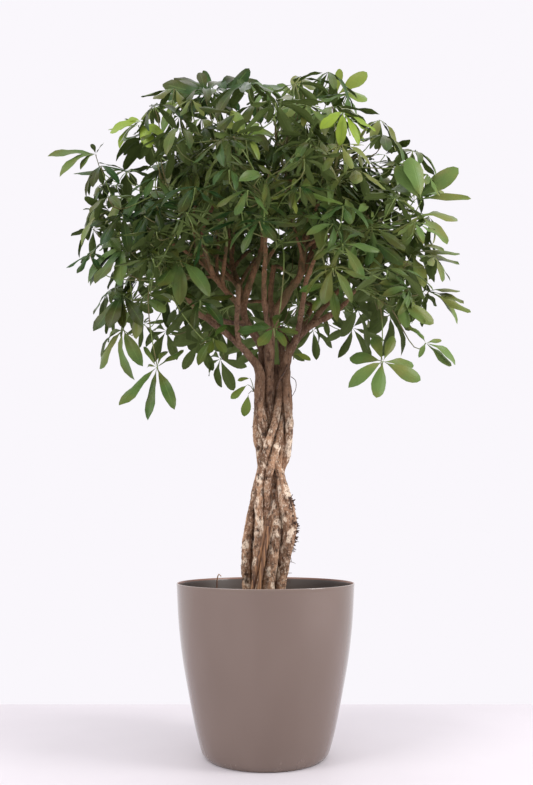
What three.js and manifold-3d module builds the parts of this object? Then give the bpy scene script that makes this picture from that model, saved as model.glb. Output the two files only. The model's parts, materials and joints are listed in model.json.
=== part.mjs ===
// A potted umbrella tree: six stems twisted into one trunk, a wide crown of
// palmate leaves and a glossy round planter filled with soil.
// Millimetres, +Z up. The origin is the middle of the planter's foot, on the
// floor, and the side that is seen first faces -Y.

import * as THREE from 'three';
import Module from 'manifold-3d';

const wasm = await Module();
wasm.setup();

// ---- driving dimensions -----------------------------------------------------

const AIR = 0.4;                      // air between two pieces that touch

const POT_HEIGHT = 367;
const POT_WALL = 4;
const POT_FLOOR = 8;
const POT_FOOT_RADIUS = 124;
const POT_FLOOR_RADIUS = 132;         // of the floor inside
const POT_TURNS = 32;                 // facets round the planter
const POT_SIDE = [                    // radius and height up the bowed outer side
  [133, 3], [138.5, 10], [152, 54], [169, 130], [184, 206], [194, 283], [200, POT_HEIGHT],
];

const SOIL_EDGE = 318;                // height of the soil at the planter's wall
const SOIL_CROWN = 327;               // and round the stems

const TREE_TOP_GREEN = 0.58;          // share of a branchlet that is brown wood

const CROWN_SEED = 138;
const SHOOTS = 38;                    // leafy shoots in the crown
const INNER_SHOOTS = 10;              // of which stand inside it
const LEAVES_PER_SHOOT = 3;
const CROWN_CENTRE = [-10, 0, 1168];
const CROWN_RADII = [440, 385, 430];  // reach of the leaf hubs
const SHOOT_SHELL = 0.64;             // shoot tips, as a share of that reach
const INNER_SHELL = 0.34;
const CROWN_LOWEST = -0.5;            // lowest direction a shoot grows in
const LOWEST_HUB = 925;               // but for the leaves that hang out below
const GOLDEN_ANGLE = Math.PI * (3 - Math.sqrt(5));
const HUB_SPACING = 112;              // leaf hubs push each other this far apart
const SPACING_ROUNDS = 24;

const LEAF_REACH = [96, 124];         // leaflet length, shortest and longest
const LEAFLETS = 6;
const FEW_LEAFLETS = 5;               // on the leaves inside the crown
const OUTER_SHARE = 0.8;              // leaves further out than this are the outer ones
const LEAFLET_FAN = THREE.MathUtils.degToRad(300);
const LEAFLET_HALF_WIDTH = 0.168;     // of its length, at the widest place
const LEAFLET_EDGE = [[0.44, 0.8], [0.76, 1]];   // place along it and share of that width
const PLAIN_EDGE = [[0.66, 1]];       // on all but the feature leaves
const LEAFLET_CURL = 0.2;             // how far the tip droops by curving
const KEEL_PLACE = 0.58;              // the thickest place under a leaflet
const KEEL_DEPTH = 1.7;
const HUB_RADIUS = 5;
const HUB_HEIGHT = 6;
const PETIOLE_RADIUS = [1.4, 1.8];    // at the hub and at the root
const PETIOLE_PLACES = [0, 0.45, 1];
const TWIG_RADIUS = [4.6, 3];
const LEAF_CLEARANCE = 0.35;          // nearest that two nodes' leaves may come
const PETIOLE_SAGS = [0, 0.25, -0.25, 0.5, -0.5, 0.8];      // tried in this order
const LEAFLET_BENDS = [0, 0.12, -0.12, 0.24, -0.2, 0.38, 0.55];

// ---- stems, as x, y, z and radius -------------------------------------------
// Each stem stands in the soil, makes half a turn round the bundle between the
// lower bulge (z 460) and the upper one (z 740), and ends in its own bough.

const STEMS = [
  { name: 'stem_1', route: [
    [-42, 6, 215, 9], [-42, 6, 330, 10], [-44, 4, 400, 11], [-43, 4, 450, 11], [-39, 5, 485, 9.5],
    [-31, 9, 535, 8.5], [-21, 8, 585, 8], [-13, 4, 620, 8], [-13, -2, 655, 8], [-19, 5, 690, 9],
    [-21, 14, 725, 9.5], [-17.5, 16, 770, 9.5], [-16, 18, 815, 9.5], [-10, 18, 860, 9.5],
    [-9, 15, 905, 9], [-22, 6, 935, 9], [-46, -6, 972, 9], [-53, -10, 1005, 9],
    [-44, -10, 1045, 8.5], [-32, -8, 1085, 8], [-16, -3, 1130, 7], [-8, 0, 1155, 6.5]],
    boughs: [
      [[-52, -9, 1000, 7.5], [-58, 12, 1040, 7.5], [-66, 38, 1080, 7], [-80, 66, 1125, 6.5],
        [-86, 84, 1155, 6]],
      [[-53, -10, 1005, 7], [-92, -22, 1040, 6.5], [-132, -34, 1090, 6], [-165, -44, 1150, 5.5]],
      [[-46, -6, 972, 6.5], [-72, -8, 968, 6], [-104, -2, 975, 5.5], [-142, 10, 992, 5]]] },
  { name: 'stem_2', route: [
    [31, 4, 215, 11], [31, 4, 330, 12], [37, 3, 380, 13], [45, 2, 430, 14.5], [54, 1, 475, 16.5],
    [54, -5, 510, 16.5], [45, -10, 555, 15], [36, -10, 598, 11.5], [28, -7, 625, 9.5],
    [17, 2, 655, 10], [3, 3, 690, 10.5], [-6, -5, 725, 12], [-14, -6, 770, 12], [-14, -6, 815, 12],
    [-13, -7, 845, 11.5], [-23, -12, 868, 10], [-40, -20, 889, 8.5], [-62, -30, 910, 8],
    [-92, -46, 934, 7], [-125, -60, 957, 6.5], [-152, -68, 972, 6]],
    boughs: [
      [[-62, -30, 910, 6.5], [-66, -70, 950, 6], [-62, -115, 985, 5.5], [-60, -150, 1020, 5]]] },
  { name: 'stem_3', route: [
    [-27, 28, 215, 9], [-27, 28, 330, 10], [-26, 26, 430, 9.5], [-20, 26, 480, 9],
    [-12, 28, 520, 9], [-2, 28, 565, 9], [5, 21, 612, 10], [8, 23, 655, 10.5], [8, 26, 690, 11],
    [9, 22, 725, 11.5], [10.5, 10, 770, 12], [10.5, 4, 815, 12], [9.6, -2, 860, 12],
    [9.5, -7, 900, 12], [11, -7, 940, 12], [22, -4, 990, 11.5], [42, -4, 1022, 11],
    [58, -4, 1052, 10], [80, -4, 1082, 9], [88, -4, 1115, 8.5], [92, -4, 1145, 8.5],
    [98, -4, 1180, 8.5], [104, -4, 1222, 7.5]],
    boughs: [
      [[58, -4, 1052, 7], [74, 14, 1078, 6.5], [96, 30, 1115, 6], [115, 38, 1165, 5.5],
        [125, 42, 1205, 5]],
      [[11, -7, 940, 7], [2, -50, 975, 6.5], [-4, -100, 1030, 6], [0, -140, 1085, 5]]] },
  { name: 'stem_4', route: [
    [6, -16, 215, 12], [6, -16, 330, 13], [10, -14, 385, 13.5], [17, -11, 430, 13],
    [23, -5, 475, 12], [25, 4, 505, 11.5], [21, 9, 545, 10.5], [21, 13, 575, 10],
    [28, 16, 598, 9], [37, 13, 618, 8], [47, 6, 645, 8], [52, 3, 672, 9], [54, 1, 700, 9.5],
    [55, -4, 735, 9.8], [53, -5, 775, 9.8], [50, -9, 815, 10], [49, -10, 860, 10],
    [54, -10, 892, 10], [68, -12, 917, 9], [83, -14, 937, 8.5], [105, -18, 958, 8],
    [128, -20, 970, 7.5], [158, -22, 987, 7], [190, -26, 1012, 6]],
    boughs: [
      [[68, -12, 917, 7], [78, -55, 950, 6.5], [84, -100, 990, 6], [92, -140, 1035, 5]],
      [[105, -18, 958, 6.5], [128, 6, 995, 6.5], [165, 32, 1045, 6], [205, 55, 1095, 5.5]]] },
  { name: 'stem_5', route: [
    [-19, -17, 215, 8.5], [-19, -17, 330, 9.5], [-19, -16, 400, 10], [-17, -12, 450, 10],
    [-15, -11, 480, 10], [-16, -12, 520, 10], [-15.5, -14, 555, 9.5], [-13, -17, 590, 9],
    [-8, -19, 620, 8.8], [0, -20, 655, 8.8], [8.5, -18, 690, 8.8], [21, -12, 725, 8.3],
    [29, -6, 770, 8], [36, 4, 815, 8], [41, 9, 860, 8], [40, 14, 895, 8], [36, 22, 935, 8],
    [24, 25, 985, 7.5], [12, 24, 1030, 7], [14, 24, 1075, 6.5], [20, 24, 1120, 6]],
    boughs: [] },
  { name: 'stem_6', route: [
    [-8, 14, 215, 7.5], [-8, 14, 330, 8], [-7, 15, 400, 8], [-6, 15, 440, 8], [-5, 12, 480, 7.5],
    [-2, 4, 515, 7], [2, -7, 550, 7.5], [5.5, -20, 590, 8], [10, -23, 620, 8.5],
    [21, -20, 655, 8.5], [31, -12, 690, 8.5], [36, 2, 725, 8], [40, 12, 770, 8],
    [44, 20, 815, 8], [47, 26, 860, 8], [60, 45, 915, 8], [85, 80, 970, 7.5],
    [105, 110, 1015, 7], [120, 132, 1050, 6.5]],
    boughs: [
      [[60, 45, 915, 7], [45, 80, 960, 6.5], [22, 115, 1010, 6], [5, 150, 1065, 5.5]]] },
];
const STEM_SIDES = 6;
const BOUGH_SIDES = 5;
const BRANCHLET_SIDES = 4;
const BRANCHLET_RADIUS = [5.2, 4.6];
const BRANCHLET_FIRST = 4;            // they leave a bough this far from its end
const BRANCHLET_STAGGER = 17;         // and then this far apart
const TWIG_SIDES = 4;

// Two dry split canes lean on the trunk, and a dry stalk stands by the wall.
const CANES = [
  { name: 'dry_cane_1', sides: 4, route: [
    [-40, -42, 250, 5.5], [-30, -40, 345, 5.5], [-12, -33.5, 430, 5.5], [6, -31, 506, 5]] },
  { name: 'dry_cane_2', sides: 4, route: [
    [-22, -46, 250, 5], [-16, -45, 345, 5], [-3, -43, 430, 5], [8, -42, 492, 4]] },
  { name: 'dry_stalk', sides: 4, route: [
    [-106, -60, 262, 1.6], [-106, -60, 340, 1.6], [-106, -61, 372, 1.4], [-101, -62, 381, 1.2],
    [-96, -62, 374, 1.1]] },
];

// Leaves that stand out: hub, the way the leaf faces, and leaflet length.
const FEATURE_LEAVES = [
  { hub: [344, -100, 1236], face: [0.2, -0.93, 0.3], reach: 140 },
  { hub: [343, -150, 1180], face: [0.35, -0.5, 0.8], reach: 112 },
  { hub: [341, -60, 1122], face: [0.3, -0.35, 0.9], reach: 116 },
  { hub: [392, 0, 1049], face: [0.5, -0.3, 0.8], reach: 118 },
  { hub: [364, -80, 903], face: [0.3, -0.8, 0.5], reach: 100 },
  { hub: [255, -120, 845], face: [0.05, -0.93, 0.35], reach: 96 },
  { hub: [-240, -100, 846], face: [-0.1, -0.86, 0.5], reach: 128 },
  { hub: [-279, -80, 1013], face: [-0.55, -0.5, 0.65], reach: 118 },
  { hub: [-328, -60, 939], face: [-0.65, -0.35, 0.65], reach: 112 },
  { hub: [-313, -150, 1108], face: [-0.6, -0.5, 0.6], reach: 122 },
  { hub: [-420, 0, 1390], face: [-0.12, -0.3, 0.93], reach: 116 },
  { hub: [-334, -60, 1330], face: [-0.2, -0.35, 0.9], reach: 118 },
  { hub: [-368, -60, 1228], face: [-0.5, -0.35, 0.75], reach: 118 },
  { hub: [-307, -60, 1446], face: [-0.3, -0.45, 0.85], reach: 104 },
  { hub: [-147, -40, 1540], face: [-0.1, -0.86, 0.5], reach: 108 },
  { hub: [-202, -80, 1496], face: [-0.35, -0.6, 0.7], reach: 108 },
  { hub: [-38, -60, 1522], face: [0, -0.72, 0.7], reach: 110 },
  { hub: [181, 20, 1576], face: [0.15, -0.92, 0.35], reach: 88 },
  { hub: [78, 40, 1575], face: [0.05, -0.8, 0.6], reach: 90 },
  { hub: [190, -100, 1453], face: [0.2, -0.5, 0.85], reach: 100 },
  { hub: [286, -60, 1370], face: [0.4, -0.4, 0.82], reach: 112 },
  { hub: [50, -280, 1177], face: [0.1, -0.65, 0.75], reach: 108 },
  { hub: [18, -180, 913], face: [0, -0.72, 0.7], reach: 92 },
  { hub: [-235, -220, 1173], face: [-0.3, -0.75, 0.6], reach: 118 },
];

// Young leaflets that sprout straight from the trunk, as root, tip and width.
const SPROUTS = [
  { name: 'sprout_left', root: [-27, 8, 806], leaflets: [
    [[-44, -2, 838], [-62, -8, 836], 12], [[-52, -6, 812], [-84, -14, 792], 16],
    [[-38, -6, 790], [-46, -16, 748], 17]] },
  { name: 'sprout_right', root: [66, -6, 880], leaflets: [
    [[74, -12, 893], [106, -18, 884], 11]] },
];

// ---- small tools ---------------------------------------------------------------

const vec = (p) => new THREE.Vector3(p[0], p[1], p[2]);
const UP = new THREE.Vector3(0, 0, 1);

/** A repeatable stream of numbers from 0 to 1. */
function makeDraw(seed) {
  let state = seed >>> 0;
  return () => {
    state = (Math.imul(state, 1664525) + 1013904223) >>> 0;
    return state / 4294967296;
  };
}

/** A direction square to `axis`, as near to `wish` as it can be. */
function squareTo(axis, wish) {
  const side = wish.clone().addScaledVector(axis, -wish.dot(axis));
  if (side.length() < 1e-3) side.set(axis.y, axis.z, axis.x).cross(axis);
  return side.normalize();
}

/** A solid from a list of points and a list of triangles. */
function solidFrom(points, triangles) {
  const mesh = new wasm.Mesh({
    numProp: 3,
    vertProperties: new Float32Array(points.flatMap((p) => [p.x, p.y, p.z])),
    triVerts: new Uint32Array(triangles.flat()),
  });
  mesh.merge();
  return new wasm.Manifold(mesh);
}

/** A three.js geometry from a solid. */
function geometryFrom(solid) {
  const mesh = solid.getMesh();
  const geometry = new THREE.BufferGeometry();
  geometry.setAttribute('position', new THREE.BufferAttribute(mesh.vertProperties, 3));
  geometry.setIndex(new THREE.BufferAttribute(mesh.triVerts, 1));
  return geometry;
}

/** A solid from a closed three.js geometry. */
function solidFromGeometry(geometry) {
  const position = geometry.getAttribute('position');
  const points = [];
  for (let i = 0; i < position.count; i += 1) {
    points.push(new THREE.Vector3().fromBufferAttribute(position, i));
  }
  const index = geometry.getIndex().array;
  const triangles = [];
  for (let i = 0; i < index.length; i += 3) {
    triangles.push([index[i], index[i + 1], index[i + 2]]);
  }
  return solidFrom(points, triangles);
}

/** The direction of a line of points at each of them. */
function lineWays(centres) {
  return centres.map((_, i) => {
    const before = centres[Math.max(i - 1, 0)];
    const after = centres[Math.min(i + 1, centres.length - 1)];
    return after.clone().sub(before).normalize();
  });
}

/** Rings of points square to a path, each turned as little as it can be. */
function ringsAlong(centres, ways, radii, sides, firstSide) {
  let side = firstSide;
  return centres.map((centre, i) => {
    const tangent = ways[i];
    side = squareTo(tangent, side);
    const other = tangent.clone().cross(side);
    return Array.from({ length: sides }, (_, k) => {
      const turn = 2 * Math.PI * k / sides;
      return centre.clone()
        .addScaledVector(side, radii[i] * Math.cos(turn))
        .addScaledVector(other, radii[i] * Math.sin(turn));
    });
  });
}

/** A closed tube with flat ends along `centres`. */
function tube(centres, radii, sides, ways = lineWays(centres)) {
  const rings = ringsAlong(centres, ways, radii, sides, new THREE.Vector3(1, 0.2, 0.1));
  const points = rings.flat();
  const triangles = [];
  const last = (rings.length - 1) * sides;
  for (let k = 1; k < sides - 1; k += 1) {
    triangles.push([0, k + 1, k], [last, last + k, last + k + 1]);
  }
  for (let i = 0; i < rings.length - 1; i += 1) {
    for (let k = 0; k < sides; k += 1) {
      const a = i * sides + k;
      const b = i * sides + (k + 1) % sides;
      triangles.push([a, b, b + sides], [a, b + sides, a + sides]);
    }
  }
  return solidFrom(points, triangles);
}

/** The tube of a route that is written as x, y, z and radius, grown by `grow`. */
function routeTube(route, sides, grow = 0) {
  return tube(route.map(vec), route.map((p) => p[3] + grow), sides);
}

/** Points of the cubic curve from `a` to `d` at the given places. */
function cubicPoints(a, b, c, d, places) {
  const curve = new THREE.CubicBezierCurve3(a, b, c, d);
  return places.map((place) => curve.getPoint(place));
}

// ---- planter and soil ------------------------------------------------------------

const flat = ([r, z]) => new THREE.Vector2(r, z);

/** The inside of the planter's wall from the floor up, drawn in by `air`. */
function innerSide(air) {
  return POT_SIDE.slice(2).map(([r, z]) => flat([r - POT_WALL - air, z]));
}

function planterGeometry() {
  const profile = [
    flat([0, 0]), flat([POT_FOOT_RADIUS, 0]), ...POT_SIDE.map(flat), ...innerSide(0).reverse(),
    flat([POT_FLOOR_RADIUS, POT_FLOOR]), flat([0, POT_FLOOR]),
  ];
  return new THREE.LatheGeometry(profile, POT_TURNS).rotateX(Math.PI / 2);
}

/** The inside of the planter up to the soil's surface, as a plain body. */
function soilBody() {
  const wall = innerSide(2 * AIR).filter((p) => p.y < SOIL_EDGE);
  const edge = wall[wall.length - 1].x + 2;
  const profile = [
    flat([0, POT_FLOOR + AIR]), flat([POT_FLOOR_RADIUS - 1, POT_FLOOR + AIR]), ...wall,
    flat([edge, SOIL_EDGE]), flat([edge * 0.5, SOIL_CROWN - 2]), flat([0, SOIL_CROWN + 1]),
  ];
  return solidFromGeometry(new THREE.LatheGeometry(profile, POT_TURNS).rotateX(Math.PI / 2));
}

// ---- crown: where the shoots and leaves stand --------------------------------------

const crownCentre = vec(CROWN_CENTRE);
const crownRadii = vec(CROWN_RADII);

/** The directions that shoots grow in, spread evenly over the crown. */
function shootTips(draw) {
  const outerCount = SHOOTS - INNER_SHOOTS;
  return Array.from({ length: SHOOTS }, (_, i) => {
    const inner = i >= outerCount;
    const rank = inner ? (i - outerCount + 0.5) / INNER_SHOOTS : (i + 0.5) / outerCount;
    const height = 0.97 - rank * (0.97 - CROWN_LOWEST);
    const turn = GOLDEN_ANGLE * i + 0.35 * draw();
    const level = Math.sqrt(1 - height * height);
    const way = new THREE.Vector3(level * Math.cos(turn), level * Math.sin(turn), height);
    const shell = (inner ? INNER_SHELL : SHOOT_SHELL) + 0.08 * (draw() - 0.5);
    return crownCentre.clone().add(way.multiply(crownRadii).multiplyScalar(shell));
  });
}

/** How far out a place is, with 1 at the reach of the leaf hubs. */
function crownShare(place) {
  return place.clone().sub(crownCentre).divide(crownRadii).length();
}

/** Three leaves round each shoot tip, before they make room for each other. */
function leavesOf(tips, draw) {
  const leaves = [];
  tips.forEach((tip, shoot) => {
    const out = tip.clone().sub(crownCentre).normalize();
    const first = squareTo(out, UP);
    const second = out.clone().cross(first);
    const start = 2 * Math.PI * draw();
    for (let k = 0; k < LEAVES_PER_SHOOT; k += 1) {
      const turn = start + 2 * Math.PI * k / LEAVES_PER_SHOOT + 0.5 * (draw() - 0.5);
      const lean = 0.65 + 0.5 * draw();
      const length = 105 + 60 * draw();
      const hub = tip.clone()
        .addScaledVector(out, length * Math.cos(lean))
        .addScaledVector(first, length * Math.sin(lean) * Math.cos(turn))
        .addScaledVector(second, length * Math.sin(lean) * Math.sin(turn));
      const tilt = new THREE.Vector3(draw() - 0.5, draw() - 0.5, draw() - 0.5);
      const reach = LEAF_REACH[0] + (LEAF_REACH[1] - LEAF_REACH[0]) * draw();
      leaves.push({ shoot, hub, tilt, reach, droop: 0.02 + 0.22 * draw(), fixed: false });
    }
  });
  return leaves;
}

/** Gives each feature leaf's place to the nearest leaf that is still free. */
function placeFeatureLeaves(leaves) {
  for (const feature of FEATURE_LEAVES) {
    const hub = vec(feature.hub);
    let best = null;
    for (const leaf of leaves) {
      if (!leaf.fixed && (!best || leaf.hub.distanceTo(hub) < best.hub.distanceTo(hub))) best = leaf;
    }
    Object.assign(best, { hub, reach: feature.reach, face: vec(feature.face).normalize(), fixed: true });
  }
}

/** Pushes leaf hubs apart, and back inside the crown. */
function makeRoom(leaves) {
  for (let round = 0; round < SPACING_ROUNDS; round += 1) {
    for (let i = 0; i < leaves.length; i += 1) {
      for (let j = i + 1; j < leaves.length; j += 1) {
        const apart = leaves[j].hub.clone().sub(leaves[i].hub);
        const distance = apart.length();
        if (distance >= HUB_SPACING) continue;
        apart.multiplyScalar(0.25 * (HUB_SPACING - distance) / distance);
        if (!leaves[i].fixed) leaves[i].hub.sub(apart);
        if (!leaves[j].fixed) leaves[j].hub.add(apart);
      }
    }
    for (const leaf of leaves) {
      const share = crownShare(leaf.hub);
      if (leaf.fixed) continue;
      if (share > 1) leaf.hub.sub(crownCentre).divideScalar(share).add(crownCentre);
      leaf.hub.z = Math.max(leaf.hub.z, LOWEST_HUB);
    }
  }
}

/** The leaf's own axes: `up` along its stalk, `ahead` to its end leaflet. */
function aimLeaf(leaf, tip) {
  const out = leaf.hub.clone().sub(crownCentre).divide(crownRadii).normalize();
  const up = leaf.face ?? out.multiplyScalar(0.62).addScaledVector(UP, 0.72)
    .addScaledVector(leaf.tilt, 0.35).normalize();
  const ahead = squareTo(up, leaf.hub.clone().sub(tip));
  Object.assign(leaf, { up, ahead, across: up.clone().cross(ahead), share: crownShare(leaf.hub) });
}

// ---- leaves -------------------------------------------------------------------------

/** The directions of a leaf's leaflets: angle round the hub and length. */
function leafletPlan(leaf) {
  const count = leaf.share > OUTER_SHARE ? LEAFLETS : FEW_LEAFLETS;
  const step = LEAFLET_FAN / count;
  return Array.from({ length: count }, (_, j) => {
    const turn = (j - (count - 1) / 2) * step;
    const length = leaf.reach * (0.8 + 0.2 * Math.cos(turn * 0.62));
    return { turn, step, length, droop: leaf.droop, kept: false };
  });
}

/** A place round the hub: `turn` round the leaf's axis, `out` from it and `down`. */
function roundHub(leaf, turn, out, down) {
  return leaf.hub.clone()
    .addScaledVector(leaf.ahead, out * Math.cos(turn))
    .addScaledVector(leaf.across, out * Math.sin(turn))
    .addScaledVector(leaf.up, -down);
}

/** A place on a leaflet: `along` its length, `side` of its middle, `under` its face. */
function onLeaflet(leaf, leaflet, along, side, under) {
  const drop = leaflet.length * (leaflet.droop * along + LEAFLET_CURL * along * along);
  const out = leaflet.length * along * Math.cos(leaflet.droop + LEAFLET_CURL * along);
  const across = leaf.ahead.clone().multiplyScalar(-Math.sin(leaflet.turn))
    .addScaledVector(leaf.across, Math.cos(leaflet.turn));
  return roundHub(leaf, leaflet.turn, out, drop + under).addScaledVector(across, side);
}

/** Adds one leaflet between the notch points `from` and `to` and the hub's underside. */
function addLeaflet(points, triangles, leaf, leaflet, [from, to, under]) {
  const half = leaflet.length * LEAFLET_HALF_WIDTH;
  const stations = leaf.fixed ? LEAFLET_EDGE : PLAIN_EDGE;
  const add = (...place) => points.push(onLeaflet(leaf, leaflet, ...place)) - 1;
  const low = [from, ...stations.map(([along, wide]) => add(along, -half * wide, 0))];
  const high = [to, ...stations.map(([along, wide]) => add(along, half * wide, 0))];
  const tip = add(1, 0, 0);
  const keel = add(KEEL_PLACE, 0, KEEL_DEPTH);
  for (let k = 0; k < stations.length; k += 1) {
    triangles.push([low[k], low[k + 1], high[k + 1]], [low[k], high[k + 1], high[k]]);
  }
  triangles.push([low[stations.length], tip, high[stations.length]]);
  const rim = [...low, tip, ...high.reverse(), under];
  rim.forEach((p, k) => triangles.push([keel, rim[(k + 1) % rim.length], p]));
}

/** One leaflet alone, to try where it is clear. */
function leafletAlone(leaf, leaflet) {
  const points = [
    roundHub(leaf, leaflet.turn - leaflet.step / 2, HUB_RADIUS, 0),
    roundHub(leaf, leaflet.turn + leaflet.step / 2, HUB_RADIUS, 0),
    roundHub(leaf, leaflet.turn, 0, HUB_HEIGHT),
  ];
  const triangles = [[0, 1, 2]];
  addLeaflet(points, triangles, leaf, leaflet, [0, 1, 2]);
  return solidFrom(points, triangles);
}

/** The line of a leaf's stalk from under the hub to its root on the twig. */
function petioleLine(leaf, sag) {
  const start = roundHub(leaf, 0, 0, HUB_HEIGHT);
  const length = start.distanceTo(leaf.root);
  const nearHub = start.clone().addScaledVector(leaf.up, -0.4 * length);
  const nearRoot = leaf.root.clone().addScaledVector(leaf.rootWay, 0.35 * length)
    .addScaledVector(UP, sag * length);
  return cubicPoints(start, nearHub, nearRoot, leaf.root, PETIOLE_PLACES);
}

function petioleRadii() {
  return PETIOLE_PLACES.map((place) => THREE.MathUtils.lerp(...PETIOLE_RADIUS, place));
}

/** One leaf as one closed body: leaflets, hub and stalk. */
function leafSolid(leaf) {
  const slots = leaf.plan.length;
  const step = leaf.plan[0].step;
  const crown = roundHub(leaf, 0, 0, -1.5);
  const notches = Array.from({ length: slots + 1 }, (_, j) =>
    roundHub(leaf, (j - slots / 2) * step, HUB_RADIUS, 0));
  const rings = ringsAlong(leaf.line, lineWays(leaf.line), petioleRadii(), 3,
    leaf.ahead.clone().negate());
  for (const ring of rings) ring.reverse();
  const points = [crown, ...notches, ...rings.flat()];
  const triangles = [];
  const firstRing = notches.length + 1;
  const notch = (j) => 1 + j % notches.length;
  const under = (j) => firstRing + Math.min(2, Math.floor(3 * j / notches.length));
  for (let j = 0; j < notches.length; j += 1) {
    triangles.push([0, notch(j), notch(j + 1)]);
    if (j < slots && leaf.plan[j].kept) {
      addLeaflet(points, triangles, leaf, leaf.plan[j], [notch(j), notch(j + 1), under(j)]);
    } else {
      triangles.push([under(j), notch(j + 1), notch(j)]);
    }
    const next = (j + 1) % notches.length;
    if (under(next) !== under(j)) triangles.push([notch(j + 1), under(j), under(next)]);
  }
  for (let i = 0; i < rings.length - 1; i += 1) {
    for (let k = 0; k < 3; k += 1) {
      const a = firstRing + 3 * i + k;
      const b = firstRing + 3 * i + (k + 1) % 3;
      triangles.push([a, a + 3, b + 3], [a, b + 3, b]);
    }
  }
  const end = firstRing + 3 * (rings.length - 1);
  triangles.push([end, end + 2, end + 1]);
  return solidFrom(points, triangles);
}

// ---- keeping nodes clear of each other -------------------------------------------------

const placed = [];                    // every piece in place: its node and its solid

function boxesMeet(a, b) {
  return [0, 1, 2].every((k) => a.min[k] < b.max[k] + 1 && b.min[k] < a.max[k] + 1);
}

function keep(solid, owner) {
  placed.push({ solid, owner, box: solid.boundingBox() });
}

/** Keeps a solid if it is clear of every placed piece but those of `friends`. */
function keepIfClear(solid, friends, owner) {
  const box = solid.boundingBox();
  const clear = placed.every((other) => friends.includes(other.owner)
    || !boxesMeet(box, other.box) || solid.minGap(other.solid, 1) > LEAF_CLEARANCE);
  if (clear) keep(solid, owner);
  return clear;
}

// ---- building ------------------------------------------------------------------------------

const MATERIALS = {
  planter: new THREE.MeshStandardMaterial({ color: 0x84776d, roughness: 0.22, metalness: 0 }),
  soil: new THREE.MeshStandardMaterial({ color: 0x3a2b20, roughness: 0.95, metalness: 0 }),
  bark: new THREE.MeshStandardMaterial({ color: 0x8a6c4e, roughness: 0.85, metalness: 0 }),
  cane: new THREE.MeshStandardMaterial({ color: 0xa8804f, roughness: 0.8, metalness: 0 }),
  leaf: new THREE.MeshStandardMaterial({ color: 0x2c5423, roughness: 0.4, metalness: 0 }),
};

const plant = new THREE.Group();

function addPiece(name, geometry, material) {
  const mesh = new THREE.Mesh(geometry, material);
  mesh.name = name;
  plant.add(mesh);
}

/** Every bough: the stem it belongs to and its line, from the end back. */
function allBoughs() {
  return STEMS.flatMap((stem, index) => [stem.route, ...stem.boughs].map((route) => {
    const line = route.map(vec).reverse();
    return { stem: index, line, way: line[0].clone().sub(line[1]).normalize(), branchlets: 0 };
  }));
}

/** The place `distance` back along a line of points. */
function backAlong(line, distance) {
  let left = distance;
  for (let i = 0; i < line.length - 1; i += 1) {
    const span = line[i].distanceTo(line[i + 1]);
    if (left <= span) return line[i].clone().lerp(line[i + 1], left / span);
    left -= span;
  }
  return line[line.length - 1].clone();
}

/** The branchlet from the bough that ends nearest to a shoot tip. */
function branchletTo(tip, boughs) {
  const bough = boughs.reduce((a, b) =>
    (a.line[0].distanceTo(tip) <= b.line[0].distanceTo(tip) ? a : b));
  const start = backAlong(bough.line, BRANCHLET_FIRST + BRANCHLET_STAGGER * bough.branchlets);
  bough.branchlets += 1;
  const length = start.distanceTo(tip);
  const leave = tip.clone().sub(start).divideScalar(length).add(bough.way).normalize();
  const out = tip.clone().sub(crownCentre).normalize().addScaledVector(UP, 0.3).normalize();
  return { stem: bough.stem, curve: new THREE.CubicBezierCurve3(start,
    start.clone().addScaledVector(leave, 0.3 * length),
    tip.clone().addScaledVector(out, -0.35 * length), tip) };
}

function buildWood(branchlets) {
  STEMS.forEach((stem, index) => {
    const limbs = [routeTube(stem.route, STEM_SIDES),
      ...stem.boughs.map((route) => routeTube(route, BOUGH_SIDES))];
    for (const branchlet of branchlets.filter((b) => b.stem === index)) {
      const shares = [0, TREE_TOP_GREEN];
      limbs.push(tube(shares.map((share) => branchlet.curve.getPoint(share)), BRANCHLET_RADIUS,
        BRANCHLET_SIDES, shares.map((share) => branchlet.curve.getTangent(share))));
    }
    const solid = wasm.Manifold.union(limbs);
    keep(solid, stem.name);
    addPiece(stem.name, geometryFrom(solid), MATERIALS.bark);
  });
  for (const cane of CANES) {
    const solid = routeTube(cane.route, cane.sides);
    keep(solid, cane.name);
    addPiece(cane.name, geometryFrom(solid), MATERIALS.cane);
  }
}

function buildPot() {
  const holes = [...STEMS.map((stem) => routeTube(stem.route, STEM_SIDES, AIR)),
    ...CANES.map((cane) => routeTube(cane.route, cane.sides, AIR))];
  const floors = [...STEMS, ...CANES].map((piece) => {
    const [x, y, z, r] = piece.route[0];
    return tube([new THREE.Vector3(x, y, z - AIR), new THREE.Vector3(x, y, z + 1)],
      [r + AIR, r + AIR], piece.sides ?? STEM_SIDES);
  });
  const soil = soilBody().subtract(wasm.Manifold.union([...holes, ...floors]));
  addPiece('planter', planterGeometry(), MATERIALS.planter);
  addPiece('soil', geometryFrom(soil), MATERIALS.soil);
}

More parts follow.
